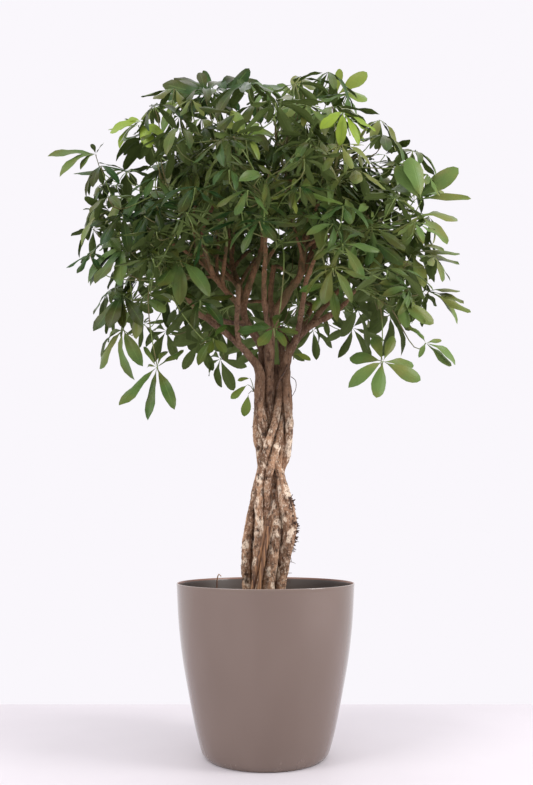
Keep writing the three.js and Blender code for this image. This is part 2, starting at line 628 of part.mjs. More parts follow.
/** The green end of each branchlet, and the stalks of its leaves. */
function buildTwigs(tips, branchlets, leaves) {
  return tips.map((tip, shoot) => {
    const name = `shoot_${String(shoot + 1).padStart(2, '0')}`;
    const { curve } = branchlets[shoot];
    const shares = [0, 0.5, 1].map((share) => TREE_TOP_GREEN + share * (1 - TREE_TOP_GREEN));
    const centres = shares.map((share) => curve.getPoint(share));
    centres[0].addScaledVector(curve.getTangent(TREE_TOP_GREEN), AIR);
    const radii = [0, 0.5, 1].map((share) => THREE.MathUtils.lerp(...TWIG_RADIUS, share));
    const twig = tube(centres, radii, TWIG_SIDES, shares.map((share) => curve.getTangent(share)));
    if (!keepIfClear(twig, [], name)) throw new Error(`${name}: its twig isn't clear`);
    leaves.filter((leaf) => leaf.shoot === shoot).forEach((leaf, k) => {
      leaf.root = centres[2].clone().lerp(centres[1], 0.06 + 0.28 * k);
      leaf.rootWay = curve.getTangent(1);
      leaf.plan = leafletPlan(leaf);
      leaf.blocked = !PETIOLE_SAGS.some((sag) => {
        leaf.line = petioleLine(leaf, sag);
        return keepIfClear(leafSolid(leaf), [name], name);
      });
    });
    return { name, twig };
  });
}

/** Bends each leaflet clear of what other shoots hold, or leaves it out. */
function settleLeaflets(leaf, index, name) {
  const owner = `${name}/${index}`;
  for (const leaflet of leaf.plan) {
    leaflet.kept = LEAFLET_BENDS.some((bend) => {
      leaflet.droop = leaf.droop + bend;
      return keepIfClear(leafletAlone(leaf, leaflet), [name, owner], owner);
    });
  }
}

function buildSprouts() {
  for (const sprout of SPROUTS) {
    const root = vec(sprout.root);
    const pieces = sprout.leaflets.map(([base, tip, width]) => {
      const start = vec(base);
      const end = vec(tip);
      const along = end.clone().sub(start);
      const across = squareTo(along.clone().normalize(), new THREE.Vector3(0.3, 0.2, 1))
        .multiplyScalar(width / 2);
      const middle = start.clone().addScaledVector(along, 0.6);
      const depth = across.clone().cross(along).normalize();
      const points = [start.clone(), middle.clone().sub(across), end.clone(),
        middle.clone().add(across), middle.clone().addScaledVector(depth, 1),
        middle.clone().addScaledVector(depth, -1)];
      const blade = [];
      for (let k = 0; k < 4; k += 1) blade.push([4, (k + 1) % 4, k], [5, k, (k + 1) % 4]);
      const stalkEnd = start.clone().addScaledVector(along, 0.3);
      return [solidFrom(points, blade), tube([root, start, stalkEnd], [1.3, 1.1, 0.8], 4)];
    });
    const solid = wasm.Manifold.union(pieces.flat());
    keep(solid, sprout.name);
    addPiece(sprout.name, geometryFrom(solid), MATERIALS.leaf);
  }
}

function buildTree() {
  const draw = makeDraw(CROWN_SEED);
  const tips = shootTips(draw);
  const leaves = leavesOf(tips, draw);
  placeFeatureLeaves(leaves);
  makeRoom(leaves);
  leaves.forEach((leaf) => aimLeaf(leaf, tips[leaf.shoot]));
  const boughs = allBoughs();
  const branchlets = tips.map((tip) => branchletTo(tip, boughs));
  buildWood(branchlets);
  buildSprouts();
  const shoots = buildTwigs(tips, branchlets, leaves);
  leaves.forEach((leaf, index) => settleLeaflets(leaf, index, shoots[leaf.shoot].name));
  shoots.forEach(({ name, twig }, shoot) => {
    const own = leaves.filter((leaf) => leaf.shoot === shoot && !leaf.blocked);
    const solid = wasm.Manifold.union([twig, ...own.map(leafSolid)]);
    addPiece(name, geometryFrom(solid), MATERIALS.leaf);
  });
}

buildPot();
buildTree();

export default plant;
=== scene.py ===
"""A potted umbrella tree: six stems twisted into one trunk, a wide crown of glossy palmate
leaves, and a round taupe planter filled with potting mix.

Metres, +Z up. The origin is the middle of the planter's foot, on the floor, and the side that is
seen first faces -Y.
"""

import json
import logging
import math
from dataclasses import dataclass, field
from enum import Enum
from typing import Any, Iterable, Mapping, Sequence

import bpy
import numpy as np
from mathutils import Matrix, Vector, noise

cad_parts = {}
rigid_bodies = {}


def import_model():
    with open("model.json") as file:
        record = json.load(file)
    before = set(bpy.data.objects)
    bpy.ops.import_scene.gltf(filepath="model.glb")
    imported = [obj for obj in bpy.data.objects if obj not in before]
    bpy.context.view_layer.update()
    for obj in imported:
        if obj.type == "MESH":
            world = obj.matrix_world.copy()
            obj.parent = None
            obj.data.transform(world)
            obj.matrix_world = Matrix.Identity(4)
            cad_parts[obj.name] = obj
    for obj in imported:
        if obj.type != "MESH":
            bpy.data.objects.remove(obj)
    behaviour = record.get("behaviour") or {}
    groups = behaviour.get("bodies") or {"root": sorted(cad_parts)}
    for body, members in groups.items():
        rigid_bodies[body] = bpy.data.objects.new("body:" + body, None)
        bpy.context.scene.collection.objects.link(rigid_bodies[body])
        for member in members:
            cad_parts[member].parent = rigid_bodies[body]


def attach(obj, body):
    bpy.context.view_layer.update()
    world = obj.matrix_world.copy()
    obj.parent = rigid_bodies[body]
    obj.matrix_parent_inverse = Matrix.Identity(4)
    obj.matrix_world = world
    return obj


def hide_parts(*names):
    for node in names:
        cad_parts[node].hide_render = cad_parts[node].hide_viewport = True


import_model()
log = logging.getLogger("umbrella_tree")

Point = Sequence[float]
Line = np.ndarray
Pair = tuple[float, float]
Triple = tuple[float, float, float]
Spot = tuple[int, int]
Colour = tuple[float, float, float, float]
Piece = bpy.types.Object
ROOT_BODY = "root"
UP = np.array((0.0, 0.0, 1.0))
FRONT = np.array((0.0, -1.0, 0.0))
GOLDEN_ANGLE = math.pi * (3 - math.sqrt(5))
BROWN_SHARE = 0.58  # how much of a branchlet, from its start, has bark


def tone(red: int, green: int, blue: int) -> Colour:
    """A colour as Blender's shaders read it.

    Args:
        red: The red part as a screen shows it, 0 to 255.
        green: The green part.
        blue: The blue part.

    Returns:
        The linear colour with full alpha.
    """
    parts = [value / 255 for value in (red, green, blue)]
    linear = [c / 12.92 if c <= 0.04045 else ((c + 0.055) / 1.055) ** 2.4 for c in parts]
    return (linear[0], linear[1], linear[2], 1.0)


# ---- node trees ----


class Socket:
    """An output of a node that Python expressions can use."""

    def __init__(self, tree: "Tree", out: bpy.types.NodeSocket) -> None:
        """Wraps one output socket of a tree."""
        self.tree = tree
        self.out = out

    def math(self, operation: str, *values: "Socket | float") -> "Socket":
        """A Math node on some values, of which this socket is usually the first."""
        return self.tree.node("ShaderNodeMath", dict(enumerate(values)), operation=operation)

    def __add__(self, other: "Socket | float") -> "Socket":
        """This value plus another."""
        return self.math("ADD", self, other)

    __radd__ = __add__

    def __mul__(self, other: "Socket | float") -> "Socket":
        """This value times another."""
        return self.math("MULTIPLY", self, other)

    __rmul__ = __mul__

    def __sub__(self, other: "Socket | float") -> "Socket":
        """This value minus another."""
        return self.math("SUBTRACT", self, other)

    def __rsub__(self, other: "Socket | float") -> "Socket":
        """Another value minus this one."""
        return self.math("SUBTRACT", other, self)

    def size(self) -> "Socket":
        """This value without its sign."""
        return self.math("ABSOLUTE", self)

    def wave(self) -> "Socket":
        """The sine of this value."""
        return self.math("SINE", self)

    def fade(self, low: float, high: float) -> "Socket":
        """A smooth step of this value.

        Args:
            low: The value at which the step is 0.
            high: The value at which it is 1, which may be the lower of the two.

        Returns:
            The step, from 0 to 1.
        """
        start, end, first, last = (low, high, 0.0, 1.0) if low < high else (high, low, 1.0, 0.0)
        inputs = {"Value": self, "From Min": start, "From Max": end, "To Min": first, "To Max": last}
        return self.tree.node("ShaderNodeMapRange", inputs, interpolation_type="SMOOTHSTEP")

    def other(self, name: str) -> "Socket":
        """Another output of the same node."""
        return Socket(self.tree, self.out.node.outputs[name])


@dataclass(frozen=True)
class Pattern:
    """Cloudy noise: its scale, how the object is stretched under it, its detail and roughness."""

    scale: float
    stretch: Triple = (1.0, 1.0, 1.0)
    detail: float = 3.0
    rough: float = 0.55


class Tree:
    """A node tree that is written as calls."""

    def __init__(self, tree: bpy.types.NodeTree) -> None:
        """Starts on an emptied tree."""
        self.tree = tree
        tree.nodes.clear()

    def node(
        self,
        kind: str,
        inputs: Mapping[str | int, Any] | None = None,
        output: str | int = 0,
        **settings: Any,
    ) -> Socket | None:
        """Adds one node.

        Args:
            kind: The node's type.
            inputs: Values or links of its sockets, by name or index.
            output: The output to return.
            settings: Its settings, which are set first.

        Returns:
            That output, or None where the node has none.
        """
        made = self.tree.nodes.new(kind)
        for name, value in settings.items():
            setattr(made, name, value)
        for key, value in (inputs or {}).items():
            if isinstance(value, Socket):
                self.tree.links.new(value.out, made.inputs[key])
            else:
                made.inputs[key].default_value = value
        return Socket(self, made.outputs[output]) if made.outputs else None

    def mix(self, share: Socket | float, first: Any, second: Any) -> Socket:
        """Two colours mixed by a share, with the first at 0 and the second at 1."""
        return self.node("ShaderNodeMix", {0: share, 6: first, 7: second}, 2, data_type="RGBA")

    def place(self, stretch: Point = (1.0, 1.0, 1.0)) -> Socket:
        """The place on the object, stretched for each axis."""
        coordinates = self.node("ShaderNodeTexCoord", output="Object")
        return self.node("ShaderNodeMapping", {"Vector": coordinates, "Scale": stretch})

    def noise(self, place: Socket, scale: Socket | float, detail: float, rough: float) -> Socket:
        """Cloudy noise at a place, from about 0.25 to 0.75."""
        inputs = {"Vector": place, "Scale": scale, "Detail": detail, "Roughness": rough}
        return self.node("ShaderNodeTexNoise", inputs)

    def speckle(self, pattern: Pattern) -> Socket:
        """Cloudy noise on the object."""
        return self.noise(self.place(pattern.stretch), pattern.scale, pattern.detail, pattern.rough)

    def attribute(self, name: str) -> Socket:
        """A value that the mesh itself carries."""
        return self.node("ShaderNodeAttribute", output="Fac", attribute_name=name)

    def height(self) -> Socket:
        """The height above the floor, in metres."""
        return self.node("ShaderNodeSeparateXYZ", {0: self.place()}).other("Z")

    def bump(self, height: Socket, strength: float, depth: float) -> Socket:
        """A normal that follows a height.

        Args:
            height: The height, 0 to 1.
            strength: How strongly it shows.
            depth: What a height of 1 stands for, in metres.

        Returns:
            The bumped normal.
        """
        return self.node("ShaderNodeBump", {"Height": height, "Strength": strength, "Distance": depth})


# ---- finishes ----


@dataclass(frozen=True)
class Finish:
    """What every finish shares: a name and the way it becomes a material."""

    name: str

    def surface(self, tree: Tree) -> dict[str, Any]:
        """Draws the finish in a tree, each kind in its own way.

        Args:
            tree: The material's tree.

        Returns:
            The values and links of the shader's sockets, by name.
        """
        raise NotImplementedError

    def build(self) -> bpy.types.Material:
        """Makes the material.

        Returns:
            The finished material.
        """
        material = bpy.data.materials.new(self.name)
        material.use_nodes = True
        tree = Tree(material.node_tree)
        shader = tree.node("ShaderNodeBsdfPrincipled", self.surface(tree))
        tree.node("ShaderNodeOutputMaterial", {"Surface": shader})
        return material


@dataclass(frozen=True)
class LeafFinish(Finish):
    """A leathery leaf: glossy deep green above, dull olive below, with a pale midrib."""

    name: str = "leathery_leaf"
    deep_cool: Colour = tone(29, 57, 23)
    deep_warm: Colour = tone(50, 53, 15)
    fresh_cool: Colour = tone(97, 122, 64)
    fresh_warm: Colour = tone(114, 118, 60)
    young: Colour = tone(132, 156, 48)
    below: Colour = tone(88, 103, 54)
    rib: Colour = tone(104, 130, 64)
    gloss: float = 0.3
    dull: float = 0.55
    shine: float = 0.13
    hue: Pattern = Pattern(9.0)
    mottle: Pattern = Pattern(22.0)
    fine: Pattern = Pattern(160.0)
    vein_count: float = 9.0
    vein_slant: float = 1.6
    relief: float = 0.0006

    def surface(self, tree: Tree) -> dict[str, Any]:
        """Draws the leaf's colours, gloss and veins, along each leaflet's own UV map.

        Args:
            tree: The material's tree.

        Returns:
            The shader's inputs.
        """
        layout = tree.node("ShaderNodeUVMap", uv_map="UVMap")
        along = tree.node("ShaderNodeSeparateXYZ", {0: layout})
        side = (along.other("Y") - 0.5).size() * 2.0
        under = tree.attribute("under").fade(0.5, 0.56)
        tint = tree.attribute("tint")
        youth = tree.attribute("young")
        mottle = tree.speckle(self.mottle)
        fine = tree.speckle(self.fine)
        hue = tree.speckle(self.hue).fade(0.36, 0.64)

        rib = side.fade(0.1, 0.02) * along.fade(0.92, 0.78)
        slant = along * self.vein_count - side * self.vein_slant
        veins = (slant * (2 * math.pi)).wave().fade(0.86, 1.0)
        veins = veins * side.fade(0.98, 0.7)
        # The tint that each leaflet carries picks between the deep and the fresh greens. It is partly the
        # leaf's own tone and partly painted light and shade: a leaf that catches the light gets a lighter
        # tint, a shaded one a darker tint.
        shade = (tint * 0.95 + mottle * 0.5 - 0.25).fade(0.0, 1.0)
        deep = tree.mix(hue, self.deep_cool, self.deep_warm)
        upper = tree.mix(shade, deep, tree.mix(hue, self.fresh_cool, self.fresh_warm))
        upper = tree.mix(youth * 0.9, upper, self.young)
        upper = tree.mix(rib * 0.32 + veins * 0.08, upper, self.rib)
        lower = tree.mix(youth * 0.6, self.below, self.young)
        lower = tree.mix(rib * 0.4 + veins * 0.14, lower, self.rib)
        height = fine * 0.3 + mottle * 0.5 + veins * 0.5 - rib * 0.8
        return {
            "Base Color": tree.mix(under, upper, lower),
            "Roughness": under * (self.dull - self.gloss) + mottle * 0.2 + (self.gloss - 0.1),
            "Normal": tree.bump(height, 0.35, self.relief),
            "Specular IOR Level": self.shine,
        }


@dataclass(frozen=True)
class StalkFinish(Finish):
    """The green skin of twigs and leaf stalks, browner where it is old."""

    name: str = "green_stalk"
    green: Colour = tone(118, 138, 70)
    tan: Colour = tone(112, 98, 58)
    cloud: Pattern = Pattern(14.0)
    groove: Pattern = Pattern(320.0, (1.0, 1.0, 0.2))
    groove_depth: float = 0.0004

    def surface(self, tree: Tree) -> dict[str, Any]:
        """Draws green with tan clouds and fine grooves along the stalk.

        Args:
            tree: The material's tree.

        Returns:
            The shader's inputs.
        """
        cloud = tree.speckle(self.cloud)
        groove = tree.speckle(self.groove)
        return {
            "Base Color": tree.mix(cloud.fade(0.42, 0.66), self.green, self.tan),
            "Roughness": groove * 0.3 + 0.35,
            "Normal": tree.bump(groove, 0.3, self.groove_depth),
        }


@dataclass(frozen=True)
class BarkFinish(Finish):
    """Rough bark: brown with buff patches, dark cracks and a little grey-green.

    The three pairs of heights, in metres, say where the pale patches end, where the bark turns to the
    darker plain brown of the boughs, which is partly painted shade under the crown, and where that turns to
    young wood.
    """

    name: str = "rough_bark"
    brown: Colour = tone(108, 78, 58)
    dark: Colour = tone(38, 23, 16)
    buff: Colour = tone(176, 138, 108)
    pale: Colour = tone(238, 218, 194)
    grey: Colour = tone(104, 92, 70)
    # A darker brown for the boughs, partly their own colour and partly painted shade under the crown.
    upper: Colour = tone(70, 48, 33)
    young: Colour = tone(140, 102, 66)
    moss: Colour = tone(74, 72, 42)
    patch_heights: Pair = (0.8, 0.7)
    bough_shade_heights: Pair = (0.68, 0.84)
    young_heights: Pair = (0.93, 1.08)
    cloud: Pattern = Pattern(44.0, (1.0, 1.0, 0.42), 5.0, 0.65)
    patch: Pattern = Pattern(46.0, (1.0, 1.0, 0.7), 2.0, 0.5)
    flake: Pattern = Pattern(210.0, (1.0, 1.0, 0.8), 5.0, 0.7)
    crack: Pattern = Pattern(210.0, (1.0, 1.0, 0.3), 4.0, 0.65)
    ring: Pattern = Pattern(130.0, (0.3, 0.3, 1.0))
    relief: float = 0.004
    shine: float = 0.3

    def surface(self, tree: Tree) -> dict[str, Any]:
        """Draws bark that is patchy low on the trunk, and plainer and darker up in the crown, where the
        darker brown is partly painted shade.

        Args:
            tree: The material's tree.

        Returns:
            The shader's inputs.
        """
        height = tree.height()
        cloud = tree.speckle(self.cloud)
        patch = tree.speckle(self.patch)
        flake = tree.speckle(self.flake)
        crack = tree.speckle(self.crack)
        ring = tree.speckle(self.ring)
        hollow = tree.attribute("relief")

        old = height.fade(*self.patch_heights)
        colour = tree.mix(cloud.fade(0.38, 0.6), self.brown, self.buff)
        colour = tree.mix(flake.fade(0.5, 0.64) * (old * 0.35 + 0.3), colour, self.pale)
        colour = tree.mix(ring.fade(0.5, 0.62) * 0.35, colour, self.brown)
        bare = patch.fade(0.53, 0.62) * flake.fade(0.36, 0.52) * old
        colour = tree.mix(bare * 0.9, colour, self.pale)
        colour = tree.mix(cloud.fade(0.44, 0.3) * 0.3, colour, self.grey)
        colour = tree.mix(crack.fade(0.46, 0.36) * 0.85, colour, self.dark)
        colour = tree.mix(hollow.fade(0.46, 0.32) * 0.9, colour, self.dark)
        # Higher up the bark darkens to the boughs' brown, partly painted shade under the crown.
        colour = tree.mix(height.fade(*self.bough_shade_heights) * 0.66, colour, self.upper)
        crown = height.fade(*self.young_heights)
        colour = tree.mix(crown * (flake.fade(0.42, 0.6) * 0.5 + 0.2), colour, self.young)
        colour = tree.mix(crown * patch.fade(0.5, 0.58) * 0.6, colour, self.moss)
        return {
            "Base Color": colour,
            "Roughness": flake * 0.25 + 0.68,
            "Normal": tree.bump(flake * 0.4 + crack * 0.5 + ring * 0.25, 0.9, self.relief),
            "Specular IOR Level": self.shine,
        }


@dataclass(frozen=True)
class RootFinish(Finish):
    """Thin brown root skin."""

    name: str = "root_skin"
    brown: Colour = tone(92, 64, 46)
    dark: Colour = tone(48, 31, 22)
    spot: Pattern = Pattern(260.0)
    relief: float = 0.0008

    def surface(self, tree: Tree) -> dict[str, Any]:
        """Draws two browns in fine spots.

        Args:
            tree: The material's tree.

        Returns:
            The shader's inputs.
        """
        spot = tree.speckle(self.spot)
        return {
            "Base Color": tree.mix(spot.fade(0.4, 0.6), self.dark, self.brown),
            "Roughness": spot * 0.3 + 0.6,
            "Normal": tree.bump(spot, 0.5, self.relief),
        }


@dataclass(frozen=True)
class CaneFinish(Finish):
    """A dry split cane with long fibres."""

    name: str = "dry_cane"
    straw: Colour = tone(158, 116, 80)
    brown: Colour = tone(72, 44, 29)
    fibre: Pattern = Pattern(420.0, (1.0, 1.0, 0.04), 2.0)
    groove: Pattern = Pattern(170.0, (1.0, 1.0, 0.05), 2.0)
    cloud: Pattern = Pattern(60.0, (1.0, 1.0, 0.4))
    relief: float = 0.0012

    def surface(self, tree: Tree) -> dict[str, Any]:
        """Draws straw-coloured fibres with brown gaps between them.

        Args:
            tree: The material's tree.

        Returns:
            The shader's inputs.
        """
        fibre = tree.speckle(self.fibre)
        groove = tree.speckle(self.groove)
        cloud = tree.speckle(self.cloud)
        gaps = fibre.fade(0.54, 0.42) * 0.5 + groove.fade(0.54, 0.46) * 0.55
        gaps = gaps + cloud.fade(0.5, 0.62) * 0.35
        return {
            "Base Color": tree.mix(gaps.fade(0.0, 1.0), self.straw, self.brown),
            "Roughness": fibre * 0.2 + 0.6,
            "Normal": tree.bump(fibre + groove, 0.8, self.relief),
        }


@dataclass(frozen=True)
class PlanterFinish(Finish):
    """Glossy taupe plastic with a faint orange-peel skin, dust and rubbed edges."""

    name: str = "taupe_plastic"
    body: Colour = tone(117, 100, 91)
    deep: Colour = tone(110, 93, 84)
    # A lighter taupe for dust, scuffs and the painted highlight along the rim.
    edge: Colour = tone(146, 132, 123)
    # A darker taupe for the inside: painted shade within the planter.
    inside: Colour = tone(76, 65, 58)
    lip: Colour = tone(146, 100, 78)
    gloss: float = 0.1
    rim_height: float = 0.367
    rim_highlight_band: float = 0.0016
    lip_band: float = 0.0045
    foot_dust: float = 0.05
    cloud: Pattern = Pattern(5.0, (1.0, 1.0, 0.5), 2.0)
    skin: Pattern = Pattern(460.0, detail=2.0)
    smear: Pattern = Pattern(17.0, (1.0, 1.0, 0.35), 5.0, 0.62)
    scuff: Pattern = Pattern(34.0, (1.0, 1.0, 7.0), 6.0, 0.7)
    relief: float = 0.0004
    shine: float = 0.5
    coat: float = 0.25
    coat_gloss: float = 0.06

    def surface(self, tree: Tree) -> dict[str, Any]:
        """Draws a smooth body colour, a painted highlight along the rim, painted shade inside and fine dust
        near the foot.

        Args:
            tree: The material's tree.

        Returns:
            The shader's inputs.
        """
        height = tree.height()
        inward = tree.attribute("inside")
        cloud = tree.speckle(self.cloud)
        skin = tree.speckle(self.skin)
        smear = tree.speckle(self.smear)
        scuff = tree.speckle(self.scuff)

        colour = tree.mix(cloud.fade(0.35, 0.65), self.body, self.deep)
        dust = height.fade(self.foot_dust, 0.0) * smear.fade(0.42, 0.66)
        colour = tree.mix(dust * 0.12 + scuff.fade(0.66, 0.74) * 0.08, colour, self.edge)
        # Painted shade: the inside of the planter is darker.
        colour = tree.mix(inward, colour, self.inside)
        # Painted highlight: a thin light band at the top of the rim.
        rim = height.fade(self.rim_height - self.rim_highlight_band, self.rim_height - self.rim_highlight_band * 0.3)
        colour = tree.mix(rim * 0.7, colour, self.edge)
        lip = height.fade(self.rim_height - self.lip_band, self.rim_height - self.lip_band * 0.7)
        colour = tree.mix(lip * inward * 0.85, colour, self.lip)
        return {
            "Base Color": colour,
            "Roughness": smear.fade(0.45, 0.75) * 0.1 + dust * 0.3 + inward * 0.3 + self.gloss,
            "Normal": tree.bump(skin + smear * 0.5, 0.05, self.relief),
            "Specular IOR Level": self.shine,
            "Coat Weight": self.coat,
            "Coat Roughness": self.coat_gloss,
        }


@dataclass(frozen=True)
class SoilFinish(Finish):
    """Dark potting mix with brown fibres and a few pale grains."""

    name: str = "potting_mix"
    dark: Colour = tone(46, 33, 25)
    brown: Colour = tone(96, 70, 48)
    grain: Colour = tone(168, 156, 136)
    clod: Pattern = Pattern(60.0, detail=5.0, rough=0.65)
    fibre: Pattern = Pattern(240.0, (1.0, 0.2, 1.0))
    fleck: Pattern = Pattern(380.0, detail=1.0)
    relief: float = 0.004
    shine: float = 0.2

    def surface(self, tree: Tree) -> dict[str, Any]:
        """Draws clods, fibres and grains, rough all over.

        Args:
            tree: The material's tree.

        Returns:
            The shader's inputs.
        """
        clod = tree.speckle(self.clod)
        fibre = tree.speckle(self.fibre)
        fleck = tree.speckle(self.fleck)
        colour = tree.mix(clod.fade(0.4, 0.66), self.dark, self.brown)
        colour = tree.mix(fibre.fade(0.6, 0.7) * 0.5, colour, self.brown)
        colour = tree.mix(fleck.fade(0.7, 0.76) * 0.8, colour, self.grain)
        return {
            "Base Color": colour,
            "Roughness": clod * 0.15 + 0.82,
            "Normal": tree.bump(clod + fleck * 0.4, 1.0, self.relief),
            "Specular IOR Level": self.shine,
        }


@dataclass(frozen=True)
class FloorFinish(Finish):
    """A plain pale studio floor."""

    name: str = "pale_floor"
    pale: Colour = tone(221, 216, 220)
    shade: Colour = tone(217, 212, 216)
    cloud: Pattern = Pattern(2.5)
    shine: float = 0.3

    def surface(self, tree: Tree) -> dict[str, Any]:
        """Draws an almost white floor with very faint clouds.

        Args:
            tree: The material's tree.

        Returns:
            The shader's inputs.
        """
        cloud = tree.speckle(self.cloud)
        return {
            "Base Color": tree.mix(cloud.fade(0.3, 0.8), self.pale, self.shade),
            "Roughness": cloud * 0.2 + 0.45,
            "Specular IOR Level": self.shine,
        }


class Finishes(Enum):
    """The finishes that the pieces are dressed in."""

    LEAF = LeafFinish()
    STALK = StalkFinish()
    BARK = BarkFinish()
    CANE = CaneFinish()
    ROOT = RootFinish()
    PLANTER = PlanterFinish()
    SOIL = SoilFinish()
    FLOOR = FloorFinish()

    @property
    def material(self) -> bpy.types.Material:
        """The finish's material, made the first time it is asked for."""
        found = bpy.data.materials.get(self.value.name)
        return found or self.value.build()


# ---- lines, meshes and grown pieces ----


class Draw:
    """A repeatable stream of numbers from 0 to 1."""

    def __init__(self, seed: int) -> None:
        """Starts the stream."""
        self.state = seed

    def __call__(self) -> float:
        """The next number."""
        self.state = (self.state * 1664525 + 1013904223) & 0xFFFFFFFF
        return self.state / 2**32

    def above(self, low: float, spread: float) -> float:
        """The next number, spread from `low` to `low` plus `spread`."""
        return low + spread * self()

    def between(self, low: float, high: float) -> float:
        """The next number, spread from `low` to `high`."""
        return self.above(low, high - low)

    def near(self, spread: float) -> float:
        """The next number, around zero and at most `spread` from it."""
        return self.between(-spread, spread)


def span(way: Point) -> float:
    """How long a way is."""
    return float(np.linalg.norm(way))


def unit(way: Point) -> Line:
    """A direction with length 1."""
    return np.asarray(way, float) / span(way)


def square_to(axis: Line, wish: Line) -> Line:
    """A direction square to an axis.

    Args:
        axis: The axis, of length 1.
        wish: The direction that the result comes as near to as it can.

    Returns:
        The direction, of length 1.
    """
    side = wish - axis * wish.dot(axis)
    if span(side) < 1e-6:
        side = np.cross((axis[1], axis[2], axis[0]), axis)
    return unit(side)


def globe_way(turn: float, height: float) -> Line:
    """A direction of length 1 with a turn about Z and the sine of its slope as its height."""
    level = math.sqrt(1 - height * height)
    return np.array((level * math.cos(turn), level * math.sin(turn), height))


def euler_of(forward: Line, side: Line, above: Line) -> Point:
    """The Euler angles that turn X, Y and Z to three directions."""
    return tuple(Matrix(np.column_stack((forward, side, above)).tolist()).to_euler())


@dataclass(frozen=True)
class Cubic:
    """A cubic curve from `a` to `d`, pulled by `b` and `c`."""

    a: Line
    b: Line
    c: Line
    d: Line

    def at(self, share: float) -> Line:
        """A point of the curve.

        Args:
            share: How far along the curve it is, from 0 to 1.

        Returns:
            The point.
        """
        rest = 1 - share
        ends = rest**3 * self.a + share**3 * self.d
        return ends + 3 * rest * rest * share * self.b + 3 * rest * share * share * self.c

    def way(self, share: float) -> Line:
        """The direction of the curve at a point.

        Args:
            share: How far along the curve the point is, from 0 to 1.

        Returns:
            The direction, of length 1.
        """
        rest = 1 - share
        first = rest * rest * (self.b - self.a) + 2 * rest * share * (self.c - self.b)
        return unit(first + share * share * (self.d - self.c))


def smooth_route(route: Sequence[Point], spacing: float) -> Line:
    """A smooth line through a route.

    Args:
        route: Points with their radius as a fourth number.
        spacing: The distance between the points of the line, about.

    Returns:
        The points of the line, each with its radius.
    """
    knots = np.asarray(route, float)
    knots = np.vstack((2 * knots[0] - knots[1], knots, 2 * knots[-1] - knots[-2]))
    points = []
    for p0, p1, p2, p3 in zip(knots, knots[1:], knots[2:], knots[3:]):
        steps = max(1, round(span(p2[:3] - p1[:3]) / spacing))
        for share in np.arange(steps) / steps:
            bend = (2 * p0 - 5 * p1 + 4 * p2 - p3) * share**2 + (3 * p1 - p0 - 3 * p2 + p3) * share**3
            points.append(p1 + 0.5 * ((p2 - p0) * share + bend))
    return np.vstack((points, knots[-2]))


class Sketch:
    """Lines with a thickness and loose leaflet points, from which a node tree grows a piece."""

    FIELDS = {
        "blade": "FLOAT", "thick": "FLOAT", "size": "FLOAT", "wide": "FLOAT", "pick": "INT",
        "tint": "FLOAT", "young": "FLOAT",
    }

    def __init__(self) -> None:
        """Starts empty."""
        self.points: list[Line] = []
        self.turns: list[Point] = []
        self.edges: list[Spot] = []
        self.values: dict[str, list[float]] = {name: [] for name in self.FIELDS}

    def add(self, place: Line, turn: Point = (0.0, 0.0, 0.0), **values: float) -> None:
        """Adds one point.

        Args:
            place: Where it is.
            turn: The turn of its leaflet, as Euler angles.
            values: Its other values by name, which are zero where they aren't given.
        """
        self.points.append(place)
        self.turns.append(turn)
        for name, stored in self.values.items():
            stored.append(values.get(name, 0))

    def line(self, centres: Iterable[Line], radii: Iterable[float]) -> None:
        """Adds a line of points.

        Args:
            centres: The points.
            radii: The radius at each of them.
        """
        first = len(self.points)
        for centre, radius in zip(centres, radii):
            self.add(centre, thick=radius)
        self.edges += [(i, i + 1) for i in range(first, len(self.points) - 1)]

    def route(self, route: Sequence[Point], spacing: float) -> None:
        """Adds a smooth line through a route that gives x, y, z and radius."""
        line = smooth_route(route, spacing)
        self.line(line[:, :3], line[:, 3])

    def mesh(self, name: str) -> bpy.types.Mesh:
        """The sketch as a mesh of points and edges with attributes.

        Args:
            name: The mesh's name.

        Returns:
            The mesh.
        """
        mesh = bpy.data.meshes.new(name)
        mesh.from_pydata([tuple(point) for point in self.points], self.edges, [])
        for field_name, kind in self.FIELDS.items():
            layer = mesh.attributes.new(field_name, kind, "POINT")
            layer.data.foreach_set("value", self.values[field_name])
        turns = mesh.attributes.new("turn", "FLOAT_VECTOR", "POINT")
        turns.data.foreach_set("vector", np.ravel(self.turns))
        return mesh


